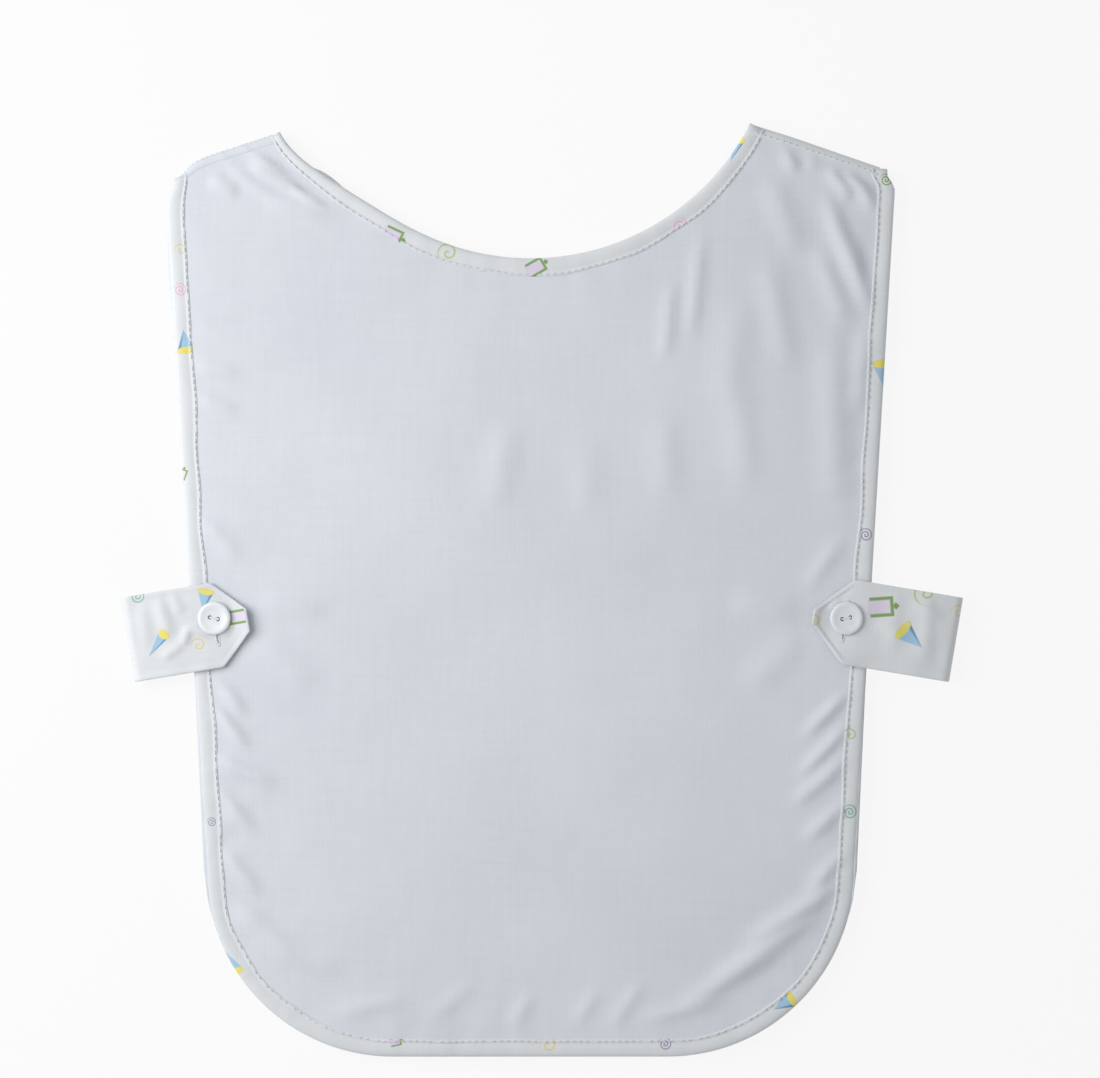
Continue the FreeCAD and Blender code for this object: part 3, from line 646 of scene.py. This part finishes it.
# motif, x, y, turn in degrees, size, and the ink of a curl or a scribble
PRINT = [
    ("box", -62.9, 374, -25, 0.85),
    ("curl", -37.4, 365.8, 40, 1.3, LEAF),
    ("box", 2.1, 359, 30, 0.85),
    ("scribble", 68.1, 378.1, 10, 1, PINK),
    ("slim cone", 95.4, 417.5, 156, 1),
    ("curl", -158.9, 367.2, 20, 0.8, OCHRE),
    ("scribble", -159.4, 349, 70, 0.85, PINK),
    ("cone", -156.5, 321.5, 8, 0.85),
    ("box", -158.5, 264.8, 70, 0.5),
    ("scribble", -145, 106.9, 90, 0.6, PURPLE),
    ("cone", -134.5, 38.5, 25, 0.95),
    ("box", -61.6, 7, 12, 0.5),
    ("curl", 8.1, 5.5, 0, 1.1, OCHRE),
    ("scribble", 61.3, 6, 45, 0.8, PURPLE),
    ("cone", 119, 26.5, 120, 0.85),
    ("scribble", 145.2, 111.5, 70, 0.95, TEAL),
    ("curl", 145.6, 146.5, 70, 1, LEAF),
    ("scribble", 152.5, 237.5, 75, 0.85, PURPLE),
    ("cone", 160.2, 315.5, 184, 1),
    ("scribble", 161.8, 399, 60, 0.8, GREEN),
    ("cone", -147.3, 211.8, 170, 0.78),
    ("curl", -150.7, 187.5, 30, 0.95, OCHRE),
    ("slim cone", -166.4, 192.4, 146, 1.1),
    ("scribble", -178.6, 209.6, 20, 0.9, TEAL),
    ("box", -132.6, 200.4, 190, 0.8),
    ("box", 158.7, 204.8, 4, 1.12),
    ("cone", 169.1, 194.3, -132, 1.05),
    ("curl", 179.6, 211.1, 80, 1.5, LEAF),
    ("curl", 194.5, 202.5, 0, 0.9, OCHRE),
    ("curl", 128.6, 198.4, 0, 0.9, OCHRE),
]
SLIM = 0.5
INK_COVER = 0.88
TILE = 62.0
# the same, with x and y as shares of a tile
TILE_PRINT = [
    ("cone", 0.18, 0.22, 25, 1),
    ("box", 0.55, 0.14, -15, 1),
    ("curl", 0.84, 0.30, 40, 1.3, PINK),
    ("curl", 0.30, 0.56, 10, 1.2, OCHRE),
    ("cone", 0.68, 0.56, 200, 1),
    ("box", 0.20, 0.84, 70, 0.9),
    ("curl", 0.78, 0.86, 110, 1.3, TEAL),
]


def over_print(tree, vector, ground, motifs):
    """Lays each motif over the ground, nearly opaque."""
    for kind, x, y, turn, size, *ink in motifs:
        across = size * SLIM if kind == "slim cone" else size
        group = tree.nodes.new("ShaderNodeGroup")
        group.node_tree = MOTIFS[kind]
        fill(tree, group, {"Place": (x, y, 0), "Turn": (0, 0, math.radians(turn)),
                           "Size": (across, size, 1), "Ink": (ink or [BLUE])[0]},
             {"Vector": vector})
        cover = calc(tree, "MULTIPLY", group.outputs["Cover"], INK_COVER)
        ground = tint(tree, cover, ground, group.outputs["Colour"])
    return ground


def placed_print(tree, spot, ground):
    """The print as it falls on the bindings and tabs."""
    apron = add(tree, "Mapping", {"vector_type": "TEXTURE",
                                  "Location": (MIDDLE * MM, HEM * MM, 0),
                                  "Scale": (MM, MM, MM)}, {"Vector": spot})
    return over_print(tree, apron.outputs[0], ground, PRINT)


def tiled_print(tree, spot, ground):
    """The print as it repeats over the front panel."""
    cloth = add(tree, "Mapping", {"vector_type": "TEXTURE", "Scale": (MM, MM, MM)},
                {"Vector": spot})
    wrapped = add(tree, "VectorMath", {"operation": "WRAP", 1: (TILE, TILE, 1e6),
                                       2: (0, 0, -1e6)}, {0: cloth.outputs[0]})
    motifs = [(kind, x * TILE, y * TILE, *rest) for kind, x, y, *rest in TILE_PRINT]
    return over_print(tree, wrapped.outputs[0], ground, motifs)


printed_cotton = cotton("screen_printed_cotton", "#dee1e4", "#d5d9dd", placed_print)
printed_panel = cotton("screen_printed_cotton_panel", "#dee1e4", "#d5d9dd", tiled_print)
print("printed finishes:", printed_cotton.name, printed_panel.name)

# %% [markdown]
# ## Thread and resin
#
# Sewing thread is polyester wound from two yarns, so it has a slight gloss and a slanting twist.
# The buttons are cast polyester resin, milky white and polished in a tumbler, which leaves a soft
# gloss and barely visible clouds.

# %% Thread and button finishes
def twisted_thread():
    """White polyester thread, its twist drawn at half a millimetre, its grooves given painted shade
    and its ridges a painted highlight.
    """
    finish, tree, shader = blank("spun_polyester_thread")
    spot = place_on(tree)
    slanted = add(tree, "Mapping", {"Rotation": (0, 0, math.radians(35))}, {"Vector": spot})
    twist = add(tree, "TexWave", {"Scale": WAVE / (0.5 * MM)},
                {"Vector": slanted.outputs[0]}).outputs["Fac"]
    bump = add(tree, "Bump", {"Strength": 0.4, "Distance": 0.1 * MM}, {"Height": twist})
    # painted shade and highlight: the colour darkens in the twist's grooves and lightens on its
    # ridges, following the bump's waves
    twist_painted_shade = tint(tree, twist, colour("#c9ced6"), colour("#e6e8eb"))
    fill(tree, shader, {"Roughness": 0.55, "Sheen Weight": 0.2},
         {"Base Color": twist_painted_shade, "Normal": bump.outputs[0]})
    return finish


def cast_resin():
    """Milky cast polyester, IOR 1.55, tumbled to a soft gloss."""
    finish, tree, shader = blank("cast_polyester_resin")
    spot = place_on(tree)
    cloud = mottle(tree, spot, 5, Detail=3.0, Distortion=1.2)
    fine = mottle(tree, spot, 0.8)
    rough = add(tree, "MapRange", {"To Min": 0.28, "To Max": 0.42}, {"Value": fine})
    bump = add(tree, "Bump", {"Strength": 0.15, "Distance": 0.05 * MM}, {"Height": fine})
    milk = tint(tree, cloud, colour("#dce0e5"), colour("#e9ecef"))
    fill(tree, shader, {"IOR": 1.55}, {"Base Color": milk, "Roughness": rough.outputs[0],
                                       "Normal": bump.outputs[0]})
    return finish


thread = twisted_thread()
resin = cast_resin()
print("thread and resin ready")

# %% [markdown]
# ## The two panels
#
# Each panel is three layers sewn as one: shell, a thin interlining and a lining. They are modelled
# as one closed cloth of the layers' thickness. The grid's columns run from the lower edge up to
# the shoulder or neckline, closer together near the sides where the lower corners turn.

# %% Panel grid
COLUMNS = 140
ROWS = 190
PANEL_BASE = 0.6
PANEL_THICK = 2.4


def lower_end(x):
    """Where a column starts: on the hem or on a round lower corner."""
    past = abs(x) - HEM_HALF
    radius = HEM_RADIUS - PANEL_INSET
    if past <= 0:
        return PANEL_INSET
    return HEM_RADIUS - math.sqrt(max(0.0, radius ** 2 - past ** 2))


def upper_end(x, radius, centre):
    """Where a column stops: on the neckline or on a shoulder."""
    slope = (LENGTH - CORNER.y) / (CORNER.x - TIP)
    shoulder = LENGTH - (abs(x) - TIP) * slope - PANEL_INSET / math.cos(math.atan(slope))
    reach = radius + PANEL_INSET
    if abs(x) >= reach:
        return shoulder
    return min(shoulder, centre - math.sqrt(reach ** 2 - x ** 2))


def panel(name, layer, radius, centre, *finishes):
    """A panel as one closed cloth, its second finish on the underside."""
    low_half = HEM_HALF + HEM_RADIUS - PANEL_INSET
    high_half = CORNER.x - PANEL_INSET

    def place(column, row):
        even = 2 * column / COLUMNS - 1
        share = even * (1.25 - 0.25 * even ** 2)
        bottom = lower_end(share * low_half)
        top = upper_end(share * high_half, radius, centre)
        y = bottom + (top - bottom) * row / ROWS
        x = share * (low_half + (high_half - low_half) * y / CORNER.y)
        return Vector((x, y, 0))

    bm = bmesh.new()
    laid_grid(bm, COLUMNS, ROWS, place)
    area = sum(face.calc_area() for face in bm.faces) * MM * MM
    under = bmesh.ops.duplicate(bm, geom=bm.verts[:] + bm.edges[:] + bm.faces[:])["geom"]
    low_verts = {item for item in under if isinstance(item, bmesh.types.BMVert)}
    low_faces = [item for item in under if isinstance(item, bmesh.types.BMFace)]
    for face in low_faces:
        face.material_index = 1
    for v in bm.verts:
        height = PANEL_BASE if v in low_verts else PANEL_BASE + PANEL_THICK
        v.co = layer(v.co.x, v.co.y, height)
    rim = [edge for edge in bm.edges if edge.is_boundary]
    bmesh.ops.bridge_loops(bm, edges=rim)
    bmesh.ops.recalc_face_normals(bm, faces=bm.faces)
    return finished(name, bm, *finishes), area


back_panel, back_area = panel("back_panel", back_layer, BACK_NECK, BACK_NECK_CENTRE,
                              plain_cotton, lining_cotton)
front_panel, front_area = panel("front_panel", front_layer, FRONT_NECK, FRONT_NECK_CENTRE,
                                lining_cotton, printed_panel)
print("panel areas in square metres:", round(back_area, 4), round(front_area, 4))

# %% [markdown]
# ## Bindings
#
# A binding is a strip of the printed cotton folded in half round the raw edge. Filled by the
# panel's edge it makes a soft roll about six millimetres wide, then the stitching pulls it down
# into a ditch, and its folded edge stands up again as a thin ridge.

# %% Roll the bindings
# depth from the edge and height above the layer's underside
SECTION = [
    (8.2, 3.1), (7.9, 3.36), (7.3, 3.4), (6.8, 3.3), (6.3, 3.12), (5.7, 3.28), (4.4, 3.55),
    (2.9, 3.62), (1.6, 3.5), (0.7, 3.1), (0.2, 2.5), (0.0, 1.8), (0.25, 0.9), (1.0, 0.25),
    (2.8, 0.0), (4.8, 0.08), (6.3, 0.5), (7.3, 0.15), (8.2, 0.5), (8.0, 1.8),
]
PUFF_UNEVEN = 0.1
PUFF_WAVE = 6.0
SEAMS = {
    "back_edge": (EDGE, back_layer),
    "back_neck": (BACK_NECKLINE, back_layer),
    "front_edge": (EDGE, front_layer),
    "front_neck": (FRONT_NECKLINE, front_layer),
}


def binding(seam):
    """A strip of printed cotton rolled to the section along one seam."""
    route, layer = SEAMS[seam]

    def place(column, row):
        point, inward = route[row]
        depth, height = SECTION[column % len(SECTION)]
        height *= 1 + PUFF_UNEVEN * wander(point.x, point.y, PUFF_WAVE, 23.0)
        spot = point + inward * depth
        return layer(spot.x, spot.y, height)

    return closed_roll(f"{seam}_trim", len(SECTION), len(route) - 1, place, printed_cotton)


trims = {seam: binding(seam) for seam in SEAMS}
print("binding faces:", len(trims["back_edge"].data.polygons))

# %% [markdown]
# ## Stitches
#
# A row of machine stitches is a row of short beads of thread that dip into the cloth at each end.
# One small sphere stretched along the seam makes each bead, with few faces, because there are
# hundreds of them.

# %% Sew the rows
STITCH = 2.2
STITCH_PITCH = 3.1
THREAD = 0.55


def one_bead():
    """A sphere one unit across with 24 faces, to be stretched into a stitch."""
    bm = bmesh.new()
    bmesh.ops.create_uvsphere(bm, u_segments=6, v_segments=4, radius=0.5)
    mesh = bpy.data.meshes.new("bead")
    bm.to_mesh(mesh)
    bm.free()
    return mesh


BEAD = one_bead()


def bead(bm, start, end, layer, height, thick=THREAD):
    """One stitch from start to end, lying at this height on a layer."""
    first = layer(start.x, start.y, height)
    last = layer(end.x, end.y, height)
    along = last - first
    turn = along.to_track_quat("X", "Z").to_matrix().to_4x4()
    size = Matrix.Diagonal((along.length, thick * MM, thick * MM, 1))
    place = Matrix.Translation((first + last) / 2) @ turn @ size
    stretched = BEAD.copy()
    stretched.transform(place)
    bm.from_mesh(stretched)
    bpy.data.meshes.remove(stretched)


def stitch_row(name, rows, layer):
    """Rows of stitches, each a route, a depth from the edge and a height."""
    bm = bmesh.new()
    for route, depth, height in rows:
        line = [point + inward * depth for point, inward in route]
        walked = 0.0
        due = STITCH_PITCH
        for here, there in zip(line, line[1:]):
            length = (there - here).length
            while due + STITCH <= walked + length and length:
                start = here.lerp(there, max(0.0, (due - walked) / length))
                end = start + (there - here).normalized() * STITCH
                bead(bm, start, end, layer, height)
                due += STITCH_PITCH
            walked += length
            due = max(due, walked)
    return finished(name, bm, thread)


TOP_STITCH = 3.62
UNDER_STITCH = 0.1
STITCH_DEPTH = 7.3
stitches = {}
for seam, (route, layer) in SEAMS.items():
    both = [(route, STITCH_DEPTH, height) for height in (TOP_STITCH, UNDER_STITCH)]
    stitches[seam] = stitch_row(f"{seam}_stitches", both, layer)
    print(seam, len(stitches[seam].data.polygons), "faces")

# %% [markdown]
# ## Shoulders
#
# At each shoulder a band of the printed cotton folds from the back, round the outside and under
# the front. Its lower points lie on the front layer and its upper points on the back layer.

# %% Fold the shoulders
FOLD = 3.4
FOLD_MIDDLE = 3.8
BAND = 4.4
UNDER_BAND = 9.0
BAND_ROWS = 56
CLOTH = 0.5


def half_round(radius):
    """Depth and height of points round the fold, from its top to its underside."""
    turns = [math.radians(90 - 15 * i) for i in range(13)]
    return [(FOLD - radius * math.cos(a), FOLD_MIDDLE + radius * math.sin(a)) for a in turns]


def shoulder_section(lip):
    """Depth and height round the band: its outside from back to front, then its inside."""
    top = [(BAND + 0.3, 6.8), (BAND + 0.1, 7.05 + lip), (BAND - 0.5, 7.1 + lip)]
    under = [(UNDER_BAND, 0.4), (UNDER_BAND, 0.9)]
    inner = half_round(FOLD - CLOTH)[::-1]
    return top + half_round(FOLD) + under + inner + [(BAND - 0.5, 6.6)]


def shoulder_line(side):
    """Both ends of the shoulder's visible band and the way in to the cloth."""
    route = shoulder_route(side)
    first, last = (route[0][0].lerp(route[-1][0], share) for share in SHOULDER_ENDS[side])
    return first, last, route[0][1]


def shoulder(side, name, lip, finish):
    """The folded band of one shoulder."""
    start, stop, inward = shoulder_line(side)
    section = shoulder_section(lip)

    def place(column, row):
        depth, height = section[column % len(section)]
        point = start.lerp(stop, row / BAND_ROWS) + inward * depth
        upper = back_layer(point.x, point.y, height - BACK)
        lower = front_layer(point.x, point.y, height)
        share = min(1.0, max(0.0, (height - 1.0) / 3.0))
        return lower.lerp(upper, share * share * (3 - 2 * share))

    return closed_roll(name, len(section), BAND_ROWS, place, finish)


def shoulder_seam(side, name, depth, height):
    """The row of stitches that holds one shoulder's band."""
    start, stop, inward = shoulder_line(side)
    line = [(point, inward) for point in straight(start, stop)]
    return stitch_row(name, [(line, depth, height)], back_layer)


SHOULDER_ENDS = {-1: (0.02, 0.97), 1: (0.0, 0.945)}
# side, how far the band's edge stands up, its cloth, and the depth and height of its stitches
SHOULDERS = {
    "left": (-1, 0.02, plain_cotton, 0.25, 1.2),
    "right": (1, 0.35, printed_cotton, BAND - 0.9, 3.45),
}
shoulders = {}
for name, (side, lip, finish, depth, height) in SHOULDERS.items():
    shoulders[name] = (
        shoulder(side, f"{name}_shoulder_band", lip, finish),
        shoulder_seam(side, f"{name}_shoulder_stitches", depth, height),
    )
    print(name, "shoulder faces", len(shoulders[name][0].data.polygons))

# %% [markdown]
# ## Tabs
#
# Each tab is one strip of doubled cotton, sewn inside out and turned. It leaves the side seam
# under the back, folds over and lies on the back, held by its button. Its grid follows the strip:
# one way across it, the other from its root round the fold to its tip. The columns and rows are
# spaced so that the buttonhole falls exactly between some of them and can be cut out.

# %% Tab shape
TAB_HALF = 19.5
TAB_CLOTH = 1.2
TAB_FOLD_RADIUS = 3.4
TAB_FOLD_HEIGHT = 5.2
SLIT = 17.0
SLIT_WIDE = 3.4
SLIT_REST = 0.03
# where each tab starts, which way it points, its buttonhole, tip and the cut of its corners,
# how thick its seam rolls, how far its button sits above its middle, how far its corner lifts,
# how far its root runs from the fold into the front binding, which side of it faces the neck,
# and the seed of its small dents
TABS = {
    "left": {"origin": Vector((-179.5, 190.4)), "turn": 9.5, "hole": 37.04, "tip": 52.3,
             "cut": 14.6, "roll": 0.2, "button": 3.2, "droop": 0.0, "root": 28.6,
             "up": 1, "seed": 11.0},
    "right": {"origin": Vector((190.0, 190.4)), "turn": 170.5, "hole": 47.40, "tip": 62.7,
              "cut": 16.6, "roll": 0.42, "button": 1.5, "droop": 2.2, "root": 39.2,
              "up": -1, "seed": 17.0},
}


def stations(*stops):
    """Evenly spaced places through these stops, given as value and how many steps lead to it."""
    places = [stops[0][0]]
    for (start, _), (end, count) in zip(stops, stops[1:]):
        places += [start + (end - start) * (i + 1) / count for i in range(count)]
    return places


def half_width(tab, x):
    """Half the width of the tab here: full, then narrowing to its cut tip."""
    return TAB_HALF - max(0.0, x - (tab["tip"] - tab["cut"]))


def squeezed(y, half):
    """Moves a place across the full tab to where it lies when the tab is this narrow."""
    keep = 10.0
    if half >= keep + 2:
        if abs(y) <= keep:
            return y
        return math.copysign(keep + (abs(y) - keep) * (half - keep) / (TAB_HALF - keep), y)
    return squeezed(y, keep + 2) * half / (keep + 2)


TAB_CREASES = [
    (-136, 198, -141, 191, 1.6, 0.7), (-146, 192, -156, 196, 1.8, 1), (-155, 196, -158, 187, 1.8, 1),
    (-158, 188, -168, 181, 2.2, 0.8), (-169, 208, -163, 190, 3, 0.8), (-176, 206, -174, 184, 3, 0.6),
    (-163, 211, -158, 201, 2.4, 0.6), (136, 204, 141, 209, 1.6, 0.6), (158, 197, 172, 190, 3, 0.6),
    (166, 212, 164, 180, 3.4, 0.5), (181, 213, 179, 177, 3.4, 0.7), (174, 206, 188, 200, 2.6, 0.5),
]


def on_pattern(tab, x, y):
    """Where a place on the tab, along and across it, lies on the apron."""
    turn = math.radians(tab["turn"])
    across = Vector((-math.sin(turn), math.cos(turn))) * tab["up"]
    return tab["origin"] + Vector((math.cos(turn), math.sin(turn))) * x + across * y


def pinched(tab, x, y):
    """Closes the slit away from the shank, as cloth does when nothing holds it open."""
    off = x - tab["hole"]
    open_half = SLIT_REST + (SLIT_WIDE / 2 - SLIT_REST) * bell(y - tab["button"], SLIT_WIDE)
    closed = open_half / (SLIT_WIDE / 2)
    share = max(0.0, 1 - max(0.0, abs(off) - SLIT_WIDE / 2) / 4.0)
    within = max(0.0, 1 - max(0.0, abs(y) - SLIT / 2) / 2.5)
    return tab["hole"] + off * (1 - (1 - closed) * share * within)


def tab_lift(tab, x, y):
    """Height of the near leg above where it would lie flat: folds, edge roll and raised tip."""
    half = half_width(tab, x)
    border = min(half - abs(y), (tab["tip"] - x) * 0.9)
    hole = tab["hole"]
    height = 0.7 * bell(hole - 6.0 - x, 9.0)
    height += tab["roll"] * bell(border - 1.3, 0.9)
    height -= 0.5 * tab["roll"] * bell(border - 3.4, 1.0)
    past = max(0.0, x - hole - 5.0)
    height += 0.030 * past ** 2 * (1 - 0.4 * abs(y) / TAB_HALF)
    height += tab["droop"] * bell(x - hole - 2, 9.0) * max(0.0, -y - 9.0) / 10.0
    height += 0.6 * bell(x - 14, 11.0)
    spot = on_pattern(tab, x, y)
    height += crease_height(spot.x, spot.y, TAB_CREASES)
    height += 0.35 * wander(x, y, 9, tab["seed"])
    press = bell(math.hypot(x - hole, y - tab["button"]), 6.5, 4)
    return max(0.0, height) * (1 - press)


def tab_point(tab, s, y):
    """A point of the tab's middle surface, s along the strip from the fold's upper end."""
    radius = TAB_FOLD_RADIUS
    fold = math.pi * radius
    if s >= 0:
        x = pinched(tab, s, y)
        y = squeezed(y, half_width(tab, x))
        z = TAB_FOLD_HEIGHT + radius + tab_lift(tab, x, y)
    elif s >= -fold:
        a = -s / radius
        x = -radius * math.sin(a)
        z = TAB_FOLD_HEIGHT + radius * math.cos(a) + tab_lift(tab, 0, y) * (1 - a / math.pi)
    else:
        x = -fold - s
        z = TAB_FOLD_HEIGHT - radius
    spot = on_pattern(tab, x, y)
    return on_table(spot.x, spot.y, z)


def make_tab(name):
    """One tab as a closed cloth with its buttonhole cut through."""
    tab = TABS[name]
    hole = tab["hole"]
    fold = math.pi * TAB_FOLD_RADIUS
    along = stations((-fold - tab["root"], 0), (-fold, 10), (0, 12), (hole - SLIT_WIDE / 2, 30),
                     (hole + SLIT_WIDE / 2, 3), (tab["tip"], 14))
    across = stations((-TAB_HALF, 0), (-SLIT / 2, 9), (SLIT / 2, 14), (TAB_HALF, 9))
    bm = bmesh.new()
    laid_grid(bm, len(along) - 1, len(across) - 1, lambda i, j: Vector((along[i], across[j], 0)))
    area = sum(face.calc_area() for face in bm.faces) - tab["cut"] ** 2
    in_hole = [face for face in bm.faces
               if abs(face.calc_center_median().x - hole) < SLIT_WIDE / 2
               and abs(face.calc_center_median().y) < SLIT / 2]
    bmesh.ops.delete(bm, geom=in_hole, context="FACES")
    for v in bm.verts:
        v.co = tab_point(tab, v.co.x, v.co.y)
    bmesh.ops.recalc_face_normals(bm, faces=bm.faces)
    bm.faces.ensure_lookup_table()
    highest = max(bm.faces, key=lambda face: face.calc_center_median().z)
    if highest.normal.z < 0:
        bmesh.ops.reverse_faces(bm, faces=bm.faces)
    for v in bm.verts:
        v.co += v.normal * TAB_CLOTH / 2 * MM
    bmesh.ops.solidify(bm, geom=bm.faces[:], thickness=TAB_CLOTH * MM)
    piece = finished(f"{name}_tab_cloth", bm, printed_cotton)
    smooth = piece.modifiers.new("soft_edges", "SUBSURF")
    smooth.levels = smooth.render_levels = 1
    return piece


tabs = {name: make_tab(name) for name in TABS}
for name, piece in tabs.items():
    print(name, "tab faces", len(piece.data.polygons))

# %% [markdown]
# ## Buttonholes
#
# A buttonhole's raw edge is bound with satin stitch: threads laid side by side square to the slit,
# fanned round its two ends.

# %% Satin stitch round each slit
SATIN = 1.5
SATIN_PITCH = 0.75
SATIN_THICK = 0.7
SATIN_HEIGHT = 0.62
FAN = 9


def satin_lines():
    """Start and end of every satin stitch, in millimetres from the middle of the slit."""
    lines = []
    radius = SLIT_WIDE / 2
    reach = SLIT / 2 - radius
    count = round(2 * reach / SATIN_PITCH)
    for i in range(count + 1):
        y = -reach + 2 * reach * i / count
        for side in (-1, 1):
            lines.append((Vector((side * radius, y)), Vector((side * (radius + SATIN), y))))
    for end in (-1, 1):
        centre = Vector((0, end * reach))
        for i in range(1, FAN):
            angle = math.pi * i / FAN
            way = Vector((math.cos(angle), end * math.sin(angle)))
            lines.append((centre + way * radius, centre + way * (radius + SATIN)))
    return lines


def buttonhole(name):
    """The satin stitches on both faces of one tab."""
    tab = TABS[name]
    middle = Vector((tab["hole"], 0))
    bm = bmesh.new()

    def on_tab(x, y, z):
        return tab_point(tab, x, y) + Vector((0, 0, z * MM))

    for height in (SATIN_HEIGHT, -SATIN_HEIGHT):
        for start, end in satin_lines():
            bead(bm, middle + start, middle + end, on_tab, height, SATIN_THICK)
    return finished(f"{name}_buttonhole_satin", bm, thread)


satins = {name: buttonhole(name) for name in TABS}
print("satin faces", len(satins["left"].data.polygons))

# %% [markdown]
# ## Which body each piece follows
#
# Each piece in the table rides on a body, so that it moves when the model does, and names the
# plain solids that it stands for, which are hidden. Tab cloths and shoulder bands stay as laid.

# %% Tie the pieces to the frame
PIECES = {}
for body, cloth in (("back", back_panel), ("front", front_panel)):
    PIECES[body] = {cloth: [f"{body}_shell", f"{body}_core", f"{body}_lining"]}
    for kind, made in (("binding", trims), ("topstitch", stitches)):
        for seam in (f"{body}_edge", f"{body}_neck"):
            PIECES[body][made[seam]] = [f"{seam}_{kind}"]
for name in TABS:
    PIECES["back"][shoulders[name][1]] = [f"{name}_shoulder_topstitch"]
    PIECES[f"{name}_tab"] = {satins[name]: [f"{name}_buttonhole_stitch"]}
for body, held in PIECES.items():
    for piece, nodes in held.items():
        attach(piece, body)
        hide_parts(*nodes)
for name, tab in TABS.items():
    at_fold = on_table(tab["origin"].x, tab["origin"].y, 0)
    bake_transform(tabs[name])
    layers = ("root", "fold", "shell", "interfacing", "lining")
    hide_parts(*(f"{name}_tab_{layer}" for layer in layers))
    band = shoulders[name][0]
    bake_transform(band)
    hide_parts(f"{name}_shoulder_fold")
print("pieces tied:", sum(len(held) for held in PIECES.values()) + 4)

for piece in bpy.context.scene.objects:
    if piece.type == "MESH" and piece.data.materials and piece.name not in frame["nodes"]:
        finish = piece.data.materials[0].name

# %% [markdown]
# ## Buttons
#
# A cast button is turned on a lathe: its half section is spun round its axis. Two holes are then
# drilled through the middle, where the thread of the frame's model already passes.

# %% Turn and drill the buttons
BUTTON_HALF = [
    (0.0, 1.82), (3.2, 1.83), (4.1, 1.90), (4.9, 2.08), (5.7, 2.26), (6.4, 2.32), (7.05, 2.18),
    (7.42, 1.84), (7.5, 1.40), (7.42, 0.90), (7.0, 0.40), (6.2, 0.10), (5.2, 0.0), (0.0, 0.0),
]
HOLE_RADIUS = 0.9
HOLE_SPACE = 3.7
HOLE_TURN = {"left": -12.0, "right": 12.0}
DRILL_LENGTH = 12.0


def turned_button(name):
    """A two-hole button where the frame's button is."""
    low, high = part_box(f"{name}_button")
    middle = (low + high) / 2
    axis = Vector((middle.x, middle.y, low.z))
    bm = bmesh.new()
    line = [bm.verts.new(axis + Vector((r, 0, z)) * MM) for r, z in BUTTON_HALF]
    edges = [bm.edges.new(pair) for pair in zip(line, line[1:])]
    bmesh.ops.spin(bm, geom=line + edges, cent=axis, axis=(0, 0, 1), angle=2 * math.pi,
                   steps=64, use_merge=True)
    bmesh.ops.remove_doubles(bm, verts=bm.verts, dist=MERGE * MM)
    bmesh.ops.recalc_face_normals(bm, faces=bm.faces)
    disc = finished(f"{name}_button_disc", bm, resin)
    drill = bmesh.new()
    turn = math.radians(HOLE_TURN[name])
    for side in (-1, 1):
        offset = Vector((math.cos(turn), math.sin(turn), 0)) * side * HOLE_SPACE / 2 * MM
        where = Matrix.Translation(axis + offset)
        bmesh.ops.create_cone(drill, cap_ends=True, segments=24, radius1=HOLE_RADIUS * MM,
                              radius2=HOLE_RADIUS * MM, depth=DRILL_LENGTH * MM, matrix=where)
    bit = finished("drill", drill)
    cut = disc.modifiers.new("holes", "BOOLEAN")
    cut.operation = "DIFFERENCE"
    cut.object = bit
    bpy.context.view_layer.update()
    graph = bpy.context.evaluated_depsgraph_get()
    drilled = bpy.data.meshes.new_from_object(disc.evaluated_get(graph))
    disc.modifiers.clear()
    disc.data = drilled
    bpy.data.objects.remove(bit)
    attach(disc, f"{name}_button")
    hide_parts(f"{name}_button")
    return disc


for name in TABS:
    button = turned_button(name)
    print(button.name, "faces", len(button.data.polygons))
    for wound in ("thread", "shank"):
        frame["nodes"][f"{name}_button_{wound}"].data.materials[0] = thread

# %% [markdown]
# ## Table and light
#
# A pale table, one large soft light from the upper left and an even fill from all round show
# folds in white cloth: the light is low enough to shade them, the fill keeps them pale.

# %% Table, key light and fill
FLOOR_SIDE = 12.0
FLOOR_DROP = 0.2
WHITE = colour("#ffffff")
bm = bmesh.new()
bmesh.ops.create_grid(bm, x_segments=1, y_segments=1, size=FLOOR_SIDE / 2)
bmesh.ops.translate(bm, verts=bm.verts, vec=(0, 0, -FLOOR_DROP * MM))
table_top, tree, shader = blank("opal_acrylic_light_table")
fill(tree, shader, {"Base Color": colour("#505050"), "Emission Color": WHITE,
                    "Emission Strength": 0.873, "Roughness": 0.7, "Specular IOR Level": 0.2}, {})
floor = finished("floor", bm, table_top)
window = bpy.data.lights.new("window", "AREA")
window.shape = "SQUARE"
window.size = 0.7
window.energy = 6.4
light = put_in_scene("window", window)
light.location = (-0.64, 0.16, 0.62)
light.rotation_mode = "QUATERNION"
light.rotation_quaternion = light.location.to_track_quat("Z", "Y")
world = bpy.data.worlds.new("room")
world.use_nodes = True
fill(world.node_tree, world.node_tree.nodes["Background"], {"Color": WHITE, "Strength": 0.46}, {})
bpy.context.scene.world = world
bpy.context.scene.view_settings.view_transform = "Standard"
print("light energy", window.energy)
